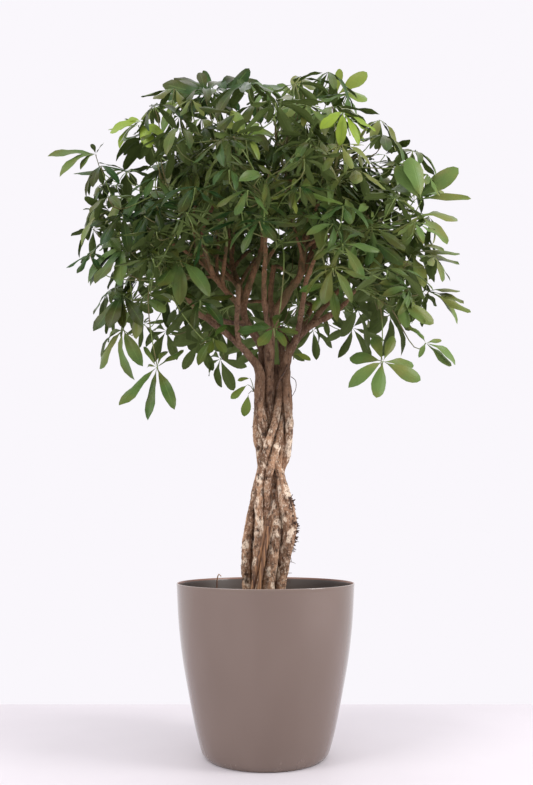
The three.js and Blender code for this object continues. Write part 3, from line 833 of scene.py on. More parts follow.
class Grower(Tree):
    """A geometry-node tree that turns a mesh into a finished piece."""

    def __init__(self, name: str, inputs: Mapping[str, str]) -> None:
        """Makes the tree.

        Args:
            name: The tree's name.
            inputs: The type of each of its own inputs beside the geometry, by name.
        """
        group = bpy.data.node_groups.new(name, "GeometryNodeTree")
        super().__init__(group)
        group.interface.new_socket("Geometry", in_out="OUTPUT", socket_type="NodeSocketGeometry")
        group.interface.new_socket("Geometry", in_out="INPUT", socket_type="NodeSocketGeometry")
        for label, kind in inputs.items():
            group.interface.new_socket(label, in_out="INPUT", socket_type=kind)
        self.start = self.node("NodeGroupInput")

    def given(self, name: str) -> Socket:
        """One of the tree's own inputs."""
        return self.start.other(name)

    def named(self, name: str, kind: str = "FLOAT") -> Socket:
        """A value that the mesh carries."""
        return self.node("GeometryNodeInputNamedAttribute", {"Name": name}, data_type=kind)

    def tubes(self, lines: Socket, sides: Socket | int) -> Socket:
        """Tubes along lines, as thick as their points say and closed at their ends.

        Args:
            lines: A mesh of edges.
            sides: How many sides a tube has.

        Returns:
            The tubes as a smooth mesh.
        """
        curve = self.node("GeometryNodeMeshToCurve", {"Mesh": lines})
        ring = self.node(
            "GeometryNodeCurvePrimitiveCircle", {"Resolution": sides, "Radius": 1.0}, mode="RADIUS"
        )
        inputs = {
            "Curve": curve, "Profile Curve": ring, "Scale": self.named("thick"), "Fill Caps": True,
        }
        mesh = self.node("GeometryNodeCurveToMesh", inputs)
        return self.node("GeometryNodeSetShadeSmooth", {"Geometry": mesh})

    def painted(self, geometry: Socket, material: str) -> Socket:
        """Geometry with the material that the named input gives."""
        inputs = {"Geometry": geometry, "Material": self.given(material)}
        return self.node("GeometryNodeSetMaterial", inputs)

    def joined(self, *parts: Socket) -> Socket:
        """Several geometries as one.

        Args:
            parts: The geometries.

        Returns:
            The one that holds them all.
        """
        join = self.tree.nodes.new("GeometryNodeJoinGeometry")
        for part in parts:
            self.tree.links.new(part.out, join.inputs[0])
        return Socket(self, join.outputs[0])

    def done(self, geometry: Socket) -> None:
        """Ends the tree with the finished geometry."""
        self.node("NodeGroupOutput", {"Geometry": geometry})

    def grow(self, name: str, mesh: bpy.types.Mesh, **inputs: Any) -> Piece:
        """Grows a piece from a mesh.

        Args:
            name: The piece's name.
            mesh: The mesh to start from, which is used up.
            inputs: Values of the tree's own inputs.

        Returns:
            The piece as an object with a plain mesh and no modifier.
        """
        holder = linked(name + "_sketch", mesh)
        modifier = holder.modifiers.new(self.tree.name, "NODES")
        modifier.node_group = self.tree
        for item in self.tree.interface.items_tree:
            if item.in_out == "INPUT" and item.name in inputs:
                modifier[item.identifier] = inputs[item.name]
        graph = bpy.context.evaluated_depsgraph_get()
        grown = bpy.data.meshes.new_from_object(holder.evaluated_get(graph))
        for used_up in ("blade", "thick", "size", "wide", "pick", "turn"):
            if used_up in grown.attributes:
                grown.attributes.remove(grown.attributes[used_up])
        for index in reversed(range(len(grown.materials))):
            if grown.materials[index] is None:
                grown.materials.pop(index=index)
        bpy.data.objects.remove(holder)
        bpy.data.meshes.remove(mesh)
        return linked(name, grown)


def linked(name: str, mesh: bpy.types.Mesh) -> Piece:
    """A mesh as an object in the scene.

    Args:
        name: The object's name, which the mesh takes too.
        mesh: The mesh.

    Returns:
        The object.
    """
    mesh.name = name
    made = bpy.data.objects.new(name, mesh)
    bpy.context.scene.collection.objects.link(made)
    return made


class Slots(Enum):
    """The material slots of the record."""

    PLANTER = "planter"
    SOIL = "soil"
    BARK = "bark"
    CANE = "cane"
    LEAF = "leaf"


def mount(piece: Piece, slot: Slots, *nodes: str) -> None:
    """Lets a piece ride on the plant.

    Args:
        piece: The piece.
        slot: The material slot of the record, which is not used.
        nodes: The solids that it stands for, if any.
    """
    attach(piece, ROOT_BODY)
    if nodes:
        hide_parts(*nodes)
    log.info("%s: %d faces", piece.name, len(piece.data.polygons))


def lathe(name: str, profile: Sequence[Pair], turns: int) -> bpy.types.Mesh:
    """A closed body turned about Z.

    Args:
        name: The mesh's name.
        profile: Radius and height from the bottom middle, round the outside, to the top middle.
        turns: The number of sides.

    Returns:
        The mesh, with smooth faces.
    """
    angles = 2 * np.pi * np.arange(turns) / turns
    rings = [(r * np.cos(a), r * np.sin(a), z) for r, z in profile[1:-1] for a in angles]
    points = [(0.0, 0.0, profile[0][1]), *rings, (0.0, 0.0, profile[-1][1])]
    last = len(points) - 1
    faces = []
    for k in range(turns):
        after = (k + 1) % turns
        faces.append((0, 1 + after, 1 + k))
        for ring in range(len(profile) - 3):
            low = 1 + ring * turns
            faces.append((low + k, low + after, low + turns + after, low + turns + k))
        faces.append((last, last - turns + k, last - turns + after))
    mesh = bpy.data.meshes.new(name)
    mesh.from_pydata(points, [], faces)
    mesh.shade_smooth()
    return mesh


# ---- planter and soil ----


@dataclass
class Planter:
    """The round planter with its thin lip."""

    height: float = 0.367
    wall: float = 0.0034
    floor: float = 0.008
    floor_radius: float = 0.132
    side: tuple[Pair, ...] = (
        (0.133, 0.003), (0.1385, 0.01), (0.152, 0.054), (0.169, 0.13), (0.184, 0.206),
        (0.194, 0.283), (0.2, 0.367),
    )
    foot: tuple[Pair, ...] = ((0.0, 0.0), (0.06, 0.0), (0.128, 0.0), (0.131, 0.0008))
    inner_low: float = 0.05
    turns: int = 128
    spacing: float = 0.008
    lip: float = 0.0011

    def profile(self) -> list[Pair]:
        """Works out the section of the planter.

        Returns:
            Radius and height from the middle of the foot to the middle of the floor inside.
        """
        outer = smooth_route([(r, 0.0, z, 0.0) for r, z in self.side], self.spacing)
        outer = [(point[0], point[2]) for point in outer]
        top = outer[-1][0]
        bevel = 0.3 * self.lip
        lip = [
            (top, self.height - self.lip), (top - bevel, self.height - bevel),
            (top - self.lip, self.height), (top - self.wall + self.lip, self.height),
            (top - self.wall + bevel, self.height - bevel), (top - self.wall, self.height - self.lip),
        ]
        inner_high = self.height - self.spacing / 2
        inner = [(r - self.wall, z) for r, z in reversed(outer) if self.inner_low < z < inner_high]
        floor = [(self.floor_radius, self.floor), (0.0, self.floor)]
        return [*self.foot, *outer[:-1], *lip, *inner, *floor]

    def build(self) -> Piece:
        """Turns the planter and marks its inside.

        Returns:
            The planter.
        """
        profile = self.profile()
        mesh = lathe("planter_body", profile, self.turns)
        inside = np.zeros(len(mesh.vertices))
        top = max(range(len(profile)), key=lambda k: (profile[k][1], k))
        inside[1 + (top - 1) * self.turns:] = 1.0
        layer = mesh.attributes.new("inside", "FLOAT", "POINT")
        layer.data.foreach_set("value", inside)
        return linked("planter_body", mesh)

    def dress(self, piece: Piece) -> None:
        """Gives the planter its plastic."""
        piece.data.materials.append(Finishes.PLANTER.material)
        mount(piece, Slots.PLANTER, "planter")


@dataclass
class Soil:
    """Potting mix with a loose, crumbly top."""

    edge: float = 0.318
    crown: float = 0.328
    bottom: float = 0.0088
    radius: float = 0.1905
    side: tuple[Pair, ...] = (
        (0.130, 0.0088), (0.1465, 0.056), (0.1635, 0.13), (0.1785, 0.206), (0.1885, 0.283),
    )
    shoulder: float = 0.003
    clods_per_metre: float = 38.0
    clod_pattern: tuple[float, float, int] = (0.8, 2.1, 4)
    clod_height: float = 0.006
    highest_clod: float = 0.004
    turns: int = 96
    rings: int = 30
    crumbs_per_area: float = 9000.0
    crumb_radius: float = 0.0026
    crumb_scales: tuple[Triple, ...] = ((0.4, 0.4, 0.3), (1.7, 1.1, 0.9))
    crumb_turns: Triple = (6.2, 6.2, 6.2)
    seed: int = 5

    def build_bed(self) -> Piece:
        """Makes the body of the soil with an uneven top.

        Returns:
            The bed of soil.
        """
        shares = 1 - np.arange(1, self.rings) / self.rings
        top = [(self.radius * s, self.edge + (self.crown - self.edge) * (1 - s * s)) for s in shares]
        side = [(0.0, self.bottom), *self.side, (self.radius, self.edge - self.shoulder)]
        mesh = lathe("soil_bed", [*side, *top, (0.0, self.crown)], self.turns)
        for vertex in mesh.vertices:
            if vertex.co.z > self.edge - self.shoulder / 3:
                lift = noise.fractal(vertex.co * self.clods_per_metre, *self.clod_pattern)
                vertex.co.z += min(lift * self.clod_height, self.highest_clod)
        return linked("soil_bed", mesh)

    def crumb_tree(self) -> Grower:
        """Makes the tree that scatters crumbs over the top of the bed.

        Returns:
            The tree, with the crumbs' density, the lowest height and the material as inputs.
        """
        tree = Grower("scatter_crumbs", {
            "Density": "NodeSocketFloat", "Lowest": "NodeSocketFloat", "Material": "NodeSocketMaterial",
        })
        height = tree.node("ShaderNodeSeparateXYZ", {0: tree.node("GeometryNodeInputPosition")})
        limits = {0: height.other("Z"), 1: tree.given("Lowest")}
        inputs = {
            "Mesh": tree.given("Geometry"), "Density": tree.given("Density"), "Seed": self.seed,
            "Selection": tree.node("FunctionNodeCompare", limits, operation="GREATER_THAN"),
        }
        points = tree.node("GeometryNodeDistributePointsOnFaces", inputs)
        shape = {"Radius": self.crumb_radius, "Subdivisions": 1}
        crumb = tree.node("GeometryNodeMeshIcoSphere", shape)
        smallest, largest = self.crumb_scales
        turn, size = (
            tree.node("FunctionNodeRandomValue", values, data_type="FLOAT_VECTOR")
            for values in ({1: self.crumb_turns, "Seed": 1}, {0: smallest, 1: largest, "Seed": 2})
        )
        inputs = {
            "Points": points, "Instance": tree.painted(crumb, "Material"), "Rotation": turn, "Scale": size,
        }
        placed = tree.node("GeometryNodeInstanceOnPoints", inputs)
        tree.done(tree.node("GeometryNodeRealizeInstances", {"Geometry": placed}))
        return tree

    def dress(self, bed: Piece) -> None:
        """Gives the bed its finish and scatters the crumbs.

        Args:
            bed: The bed of soil.
        """
        material = Finishes.SOIL.material
        bed.data.materials.append(material)
        crumbs = self.crumb_tree().grow(
            "soil_crumbs", bed.data.copy(), Density=self.crumbs_per_area,
            Lowest=self.edge - self.highest_clod / 2, Material=material,
        )
        mount(bed, Slots.SOIL, "soil")
        mount(crumbs, Slots.SOIL)


# ---- wood ----


def metres(*route: Point) -> Line:
    """A route in metres, from points in millimetres that each have their radius as a fourth number."""
    return np.array(route) / 1000


STEM_ROUTES: dict[str, list[Line]] = {
    "stem_1": [metres(
        (-42, 6, 215, 9), (-42, 6, 330, 10), (-44, 4, 400, 11), (-43, 4, 450, 11), (-39, 5, 485, 9.5),
        (-31, 9, 535, 8.5), (-21, 8, 585, 8), (-13, 4, 620, 8), (-13, -2, 655, 8), (-19, 5, 690, 9),
        (-21, 14, 725, 9.5), (-17.5, 16, 770, 9.5), (-16, 18, 815, 9.5), (-10, 18, 860, 9.5),
        (-9, 15, 905, 9), (-22, 6, 935, 9), (-46, -6, 972, 9), (-53, -10, 1005, 9), (-44, -10, 1045, 8.5),
        (-32, -8, 1085, 8), (-16, -3, 1130, 7), (-8, 0, 1155, 6.5),
    ), metres(
        (-52, -9, 1000, 7.5), (-58, 12, 1040, 7.5), (-66, 38, 1080, 7), (-80, 66, 1125, 6.5),
        (-86, 84, 1155, 6),
    ), metres(
        (-53, -10, 1005, 7), (-92, -22, 1040, 6.5), (-132, -34, 1090, 6), (-165, -44, 1150, 5.5),
    ), metres(
        (-46, -6, 972, 6.5), (-72, -8, 968, 6), (-104, -2, 975, 5.5), (-142, 10, 992, 5),
    )],
    "stem_2": [metres(
        (31, 4, 215, 11), (31, 4, 330, 12), (37, 3, 380, 13), (45, 2, 430, 14.5), (54, 1, 475, 16.5),
        (54, -5, 510, 16.5), (45, -10, 555, 15), (36, -10, 598, 11.5), (28, -7, 625, 9.5), (17, 2, 655, 10),
        (3, 3, 690, 10.5), (-6, -5, 725, 12), (-14, -6, 770, 12), (-14, -6, 815, 12), (-13, -7, 845, 11.5),
        (-23, -12, 868, 10), (-40, -20, 889, 8.5), (-62, -30, 910, 8), (-92, -46, 934, 7),
        (-125, -60, 957, 6.5), (-152, -68, 972, 6),
    ), metres(
        (-62, -30, 910, 6.5), (-66, -70, 950, 6), (-62, -115, 985, 5.5), (-60, -150, 1020, 5),
    )],
    "stem_3": [metres(
        (-27, 28, 215, 9), (-27, 28, 330, 10), (-26, 26, 430, 9.5), (-20, 26, 480, 9), (-12, 28, 520, 9),
        (-2, 28, 565, 9), (5, 21, 612, 10), (8, 23, 655, 10.5), (8, 26, 690, 11), (9, 22, 725, 11.5),
        (10.5, 10, 770, 12), (10.5, 4, 815, 12), (9.6, -2, 860, 12), (9.5, -7, 900, 12), (11, -7, 940, 12),
        (22, -4, 990, 11.5), (42, -4, 1022, 11), (58, -4, 1052, 10), (80, -4, 1082, 9), (88, -4, 1115, 8.5),
        (92, -4, 1145, 8.5), (98, -4, 1180, 8.5), (104, -4, 1222, 7.5),
    ), metres(
        (58, -4, 1052, 7), (74, 14, 1078, 6.5), (96, 30, 1115, 6), (115, 38, 1165, 5.5), (125, 42, 1205, 5),
    ), metres(
        (11, -7, 940, 7), (2, -50, 975, 6.5), (-4, -100, 1030, 6), (0, -140, 1085, 5),
    )],
    "stem_4": [metres(
        (6, -16, 215, 12), (6, -16, 330, 13), (10, -14, 385, 13.5), (17, -11, 430, 13), (23, -5, 475, 12),
        (25, 4, 505, 11.5), (21, 9, 545, 10.5), (21, 13, 575, 10), (28, 16, 598, 9), (37, 13, 618, 8),
        (47, 6, 645, 8), (52, 3, 672, 9), (54, 1, 700, 9.5), (55, -4, 735, 9.8), (53, -5, 775, 9.8),
        (50, -9, 815, 10), (49, -10, 860, 10), (54, -10, 892, 10), (68, -12, 917, 9), (83, -14, 937, 8.5),
        (105, -18, 958, 8), (128, -20, 970, 7.5), (158, -22, 987, 7), (190, -26, 1012, 6),
    ), metres(
        (68, -12, 917, 7), (78, -55, 950, 6.5), (84, -100, 990, 6), (92, -140, 1035, 5),
    ), metres(
        (105, -18, 958, 6.5), (128, 6, 995, 6.5), (165, 32, 1045, 6), (205, 55, 1095, 5.5),
    )],
    "stem_5": [metres(
        (-19, -17, 215, 8.5), (-19, -17, 330, 9.5), (-19, -16, 400, 10), (-17, -12, 450, 10),
        (-15, -11, 480, 10), (-16, -12, 520, 10), (-15.5, -14, 555, 9.5), (-13, -17, 590, 9),
        (-8, -19, 620, 8.8), (0, -20, 655, 8.8), (8.5, -18, 690, 8.8), (21, -12, 725, 8.3),
        (29, -6, 770, 8), (36, 4, 815, 8), (41, 9, 860, 8), (40, 14, 895, 8), (36, 22, 935, 8),
        (24, 25, 985, 7.5), (12, 24, 1030, 7), (14, 24, 1075, 6.5), (20, 24, 1120, 6),
    )],
    "stem_6": [metres(
        (-8, 14, 215, 7.5), (-8, 14, 330, 8), (-7, 15, 400, 8), (-6, 15, 440, 8), (-5, 12, 480, 7.5),
        (-2, 4, 515, 7), (2, -7, 550, 7.5), (5.5, -20, 590, 8), (10, -23, 620, 8.5), (21, -20, 655, 8.5),
        (31, -12, 690, 8.5), (36, 2, 725, 8), (40, 12, 770, 8), (44, 20, 815, 8), (47, 26, 860, 8),
        (60, 45, 915, 8), (85, 80, 970, 7.5), (105, 110, 1015, 7), (120, 132, 1050, 6.5),
    ), metres(
        (60, 45, 915, 7), (45, 80, 960, 6.5), (22, 115, 1010, 6), (5, 150, 1065, 5.5),
    )],
}

CANE_ROUTES: dict[str, Line] = {
    "dry_cane_1": metres(
        (-40, -42, 250, 5.5), (-30, -40, 345, 5.5), (-12, -33.5, 430, 5.5), (6, -31, 506, 5),
    ),
    "dry_cane_2": metres(
        (-22, -46, 250, 5), (-16, -45, 345, 5), (-3, -43, 430, 5), (8, -42, 492, 4),
    ),
    "dry_stalk": metres(
        (-106, -60, 262, 1.6), (-106, -60, 340, 1.6), (-106, -61, 376, 1.4), (-102, -62, 389, 1.2),
        (-97, -62, 384, 1.1),
    ),
}


@dataclass(frozen=True)
class Skin:
    """The skin of a kind of wood: the sides of its tubes, its relief in metres and its pattern."""

    finish: Finishes
    sides: int
    relief: float
    scale: float
    stretch: Triple = (1.0, 1.0, 1.0)


class Skins(Enum):
    """The kinds of wood."""

    STEM = Skin(Finishes.BARK, 18, 0.0105, 56.0, (1.0, 1.0, 0.78))
    CORE = Skin(Finishes.BARK, 18, 0.008, 70.0, (1.0, 1.0, 0.42))
    CANE = Skin(Finishes.CANE, 14, 0.0022, 180.0, (1.0, 1.0, 0.05))
    ROOT = Skin(Finishes.ROOT, 6, 0.0006, 260.0)


@dataclass
class Wood:
    """The stems with their boughs and branchlets, the canes and the roots."""

    spacing: float = 0.006
    skin_detail: float = 6.0
    skin_rough: float = 0.66
    branchlet_radii: Pair = (0.0048, 0.0038)
    branchlet_steps: int = 14
    core_low: float = 0.3
    core_high: float = 0.87
    core_shares: tuple[float, ...] = (0.22, 0.36, 0.5, 0.64, 0.78)
    core_back: float = 0.009
    core_width: float = 0.13
    root_spacing: float = 0.004
    root_spot_spacing: float = 0.002
    root_depth: float = 0.8
    root_rise: float = 0.4
    root_bend: Pair = (0.6, 0.8)
    root_sag: float = 0.3
    root_taper: Triple = (1.0, 0.8, 0.4)
    root_lengths: Pair = (0.4, 1.0)
    seed: int = 61
    grower: Grower = field(init=False)

    def __post_init__(self) -> None:
        """Makes the tree."""
        self.grower = self.tree()

    def tree(self) -> Grower:
        """Makes the tree that grows tubes with a rough skin.

        Returns:
            The tree, with the values of a skin and its material as inputs.
        """
        tree = Grower("grow_wood", {
            "Sides": "NodeSocketInt", "Relief": "NodeSocketFloat", "Scale": "NodeSocketFloat",
            "Stretch": "NodeSocketVector", "Material": "NodeSocketMaterial",
        })
        mesh = tree.tubes(tree.given("Geometry"), tree.given("Sides"))
        factors = {0: tree.node("GeometryNodeInputPosition"), 1: tree.given("Stretch")}
        place = tree.node("ShaderNodeVectorMath", factors, operation="MULTIPLY")
        coarse = tree.noise(place, tree.given("Scale"), self.skin_detail, self.skin_rough)
        lift = (coarse - 0.5) * tree.given("Relief")
        factors = {0: tree.node("GeometryNodeInputNormal"), "Scale": lift}
        offset = tree.node("ShaderNodeVectorMath", factors, operation="SCALE")
        values = {"Geometry": mesh, "Name": "relief", "Value": coarse}
        mesh = tree.node("GeometryNodeStoreNamedAttribute", values, data_type="FLOAT", domain="POINT")
        mesh = tree.node("GeometryNodeSetPosition", {"Geometry": mesh, "Offset": offset})
        real = tree.node("GeometryNodeRealizeInstances", {"Geometry": mesh})
        tree.done(tree.painted(real, "Material"))
        return tree

    def grow(self, name: str, sketch: Sketch, kind: Skins) -> Piece:
        """Grows one piece.

        Args:
            name: The piece's name.
            sketch: Its lines.
            kind: Its skin.

        Returns:
            The piece.
        """
        skin = kind.value
        return self.grower.grow(
            name, sketch.mesh(name), Sides=skin.sides, Relief=skin.relief, Scale=skin.scale,
            Stretch=skin.stretch, Material=skin.finish.material,
        )

    def build_stems(self, branchlets: Mapping[str, list[Cubic]]) -> list[Piece]:
        """Grows each stem with its boughs and the brown part of its branchlets.

        Args:
            branchlets: The branchlets of each stem, by its name.

        Returns:
            The stems.
        """
        pieces = []
        for name, routes in STEM_ROUTES.items():
            sketch = Sketch()
            for route in routes:
                sketch.route(route, self.spacing)
            shares = np.linspace(0, BROWN_SHARE, self.branchlet_steps)
            radii = np.linspace(*self.branchlet_radii, self.branchlet_steps)
            for curve in branchlets[name]:
                sketch.line([curve.at(share) for share in shares], radii)
            pieces.append(self.grow(name + "_bark", sketch, Skins.STEM))
        return pieces

    def build_core(self) -> Piece:
        """Grows the old wood between the stems, which closes the gaps of the trunk.

        Returns:
            The core.
        """
        lines = [smooth_route(routes[0], self.spacing) for routes in STEM_ROUTES.values()]
        sketch = Sketch()
        heights = np.arange(self.core_low, self.core_high, self.spacing)
        places = np.array([
            [[np.interp(z, line[:, 2], line[:, axis]) for axis in (0, 1)] for line in lines]
            for z in heights
        ])
        left, right = places[:, :, 0].min(axis=1), places[:, :, 0].max(axis=1)
        for share in self.core_shares:
            centres = [
                np.array((low + (high - low) * share, float(at[:, 1].mean()) + self.core_back, z))
                for low, high, at, z in zip(left, right, places, heights)
            ]
            sketch.line(centres, (right - left) * self.core_width)
        return self.grow("trunk_core", sketch, Skins.CORE)

    def build_canes(self) -> list[Piece]:
        """Grows the dry canes and the dry stalk.

        Returns:
            The canes and the stalk.
        """
        pieces = []
        for name, route in CANE_ROUTES.items():
            sketch = Sketch()
            sketch.route(route, self.spacing)
            pieces.append(self.grow(name + "_fibre", sketch, Skins.CANE))
        return pieces

    def build_roots(self) -> Piece:
        """Grows root stubs on the knobbly stem, hair roots at the foot and the loose air roots.

        Returns:
            All the roots as one piece.
        """
        draw = Draw(self.seed)
        sketch = Sketch()
        level, upright = self.root_bend
        for route in AIR_ROOTS:
            sketch.route(route, self.root_spacing)
        for band in ROOT_BANDS:
            line = smooth_route(STEM_ROUTES[band.stem][0], self.root_spot_spacing)
            spots = line[(line[:, 2] > band.low) & (line[:, 2] < band.high)]
            for _ in range(band.count):
                x, y, z, radius = spots[int(draw() * len(spots))]
                turn = band.facing + draw.near(band.spread)
                out = np.array((math.cos(turn), math.sin(turn), draw.near(self.root_rise)))
                start = np.array((x, y, z)) + out * radius * self.root_depth
                length = band.length * draw.between(*self.root_lengths)
                bend = np.array((draw.near(level), draw.near(level), draw.near(upright) - self.root_sag))
                steps = [start + out * length * s + bend * length * s * s for s in (0, 0.5, 1)]
                sketch.line(steps, [band.thick * share for share in self.root_taper])
        return self.grow("air_roots", sketch, Skins.ROOT)

    def dress(self, stems: Sequence[Piece], canes: Sequence[Piece], *others: Piece) -> None:
        """Puts the wood in its place on the plant.

        Args:
            stems: The six stems.
            canes: The canes and the stalk.
            others: The pieces that stand for no solid.
        """
        for piece, name in zip(stems, STEM_ROUTES):
            mount(piece, Slots.BARK, name)
        for piece, name in zip(canes, CANE_ROUTES):
            mount(piece, Slots.CANE, name)
        for piece in others:
            mount(piece, Slots.BARK)


@dataclass(frozen=True)
class RootBand:
    """Roots on a length of a stem: where they are, which way they point and their size."""

    stem: str
    low: float
    high: float
    count: int
    facing: float
    spread: float
    length: float
    thick: float


ROOT_BANDS = (
    RootBand("stem_2", 0.45, 0.56, 48, -0.4, 0.8, 0.008, 0.0028),
    RootBand("stem_2", 0.43, 0.56, 36, -0.5, 1.0, 0.009, 0.0013),
    RootBand("stem_2", 0.36, 0.43, 14, -0.9, 1.4, 0.014, 0.0009),
    RootBand("stem_1", 0.36, 0.5, 12, -2.4, 1.2, 0.009, 0.0008),
    RootBand("stem_4", 0.4, 0.5, 10, -1.5, 1.0, 0.007, 0.0009),
    RootBand("stem_3", 0.6, 0.9, 10, -1.5, 1.6, 0.008, 0.0008),
    RootBand("stem_1", 0.7, 0.95, 10, -2.2, 1.4, 0.008, 0.0008),
)

AIR_ROOTS: tuple[Line, ...] = (
    metres((52, -12, 872, 2.2), (46, -30, 850, 2.2), (34, -36, 828, 2.1), (26, -30, 806, 1.9)),
    metres((60, -10, 838, 0.9), (70, -22, 826, 0.8), (70, -28, 806, 0.8), (62, -24, 790, 0.7)),
    metres((-26, -4, 530, 0.8), (-36, -14, 522, 0.8), (-36, -20, 505, 0.8), (-26, -20, 498, 0.7)),
    metres((-30, 0, 955, 2.2), (-62, -20, 962, 2), (-118, -36, 978, 1.6)),
)


# ---- crown ----


@dataclass(frozen=True)
class Sight:
    """The camera: its place, pitch in degrees, lens and sensor in mm, shift, and picture in pixels.

    `usual_droop` is the sine of the angle at which most leaflets droop.
    """

    place: Triple = (0.0, -1.8488, 0.4928)
    pitch: float = 9.5
    lens: float = 36.58
    shift: float = 0.00122
    picture: Spot = (533, 785)
    sensor: float = 36.0
    usual_droop: float = 0.18

    def ray(self, spot: Spot) -> Line:
        """The direction in which the camera sees a spot of its picture.

        Args:
            spot: The spot, in pixels from the upper left corner.

        Returns:
            The direction, of length 1.
        """
        width, height = self.picture
        pixel = self.sensor / (self.lens * height)
        right = (spot[0] - width / 2 + self.shift * height) * pixel
        rise = (height / 2 - spot[1]) * pixel
        pitch = math.radians(self.pitch)
        ahead = np.array((0.0, math.cos(pitch), math.sin(pitch)))
        above = np.array((0.0, -math.sin(pitch), math.cos(pitch)))
        return unit(ahead + above * rise + np.array((right, 0.0, 0.0)))

    def gap(self, spot: Spot, hub: Line) -> float:
        """How far a hub is from the line of sight to a spot."""
        return span(np.cross(np.array(self.place) - hub, self.ray(spot)))

    def way_to(self, spot: Spot, hub: Line, reach: float, face: Line) -> Line:
        """The direction from a hub to a place seen at a spot.

        Args:
            spot: The place in the picture.
            hub: Where the way starts.
            reach: How far the place is from the hub.
            face: The leaf's upper side. Of the two such places, the one nearer to a leaflet that
                droops a little is meant.

        Returns:
            The direction, of length 1, or the nearest one where the reach is too short.
        """
        ray = self.ray(spot)
        back = np.array(self.place) - hub
        middle = float(back.dot(ray))
        spare = middle * middle - float(back.dot(back)) + reach * reach
        root = math.sqrt(max(0.0, spare))
        ways = [unit(back + ray * (root * sign - middle)) for sign in (-1, 1)]
        return min(ways, key=lambda way: abs(float(way.dot(face)) + self.usual_droop))


SIGHT = Sight()


@dataclass(frozen=True)
class Feature:
    """A leaf that the front view shows, with its leaflets' tips as the camera sees them, in pixels."""

    hub: Triple
    face: Triple
    reach: float
    tips: tuple[Spot, ...] = ()
    young: float = 0.0
    wide: float = 1.0
    # The tint is partly the leaf's own tone and partly painted light and shade: lighter for a lit leaf,
    # darker for a shaded one.
    tint: float = 0.5
    lean: float = 0.45


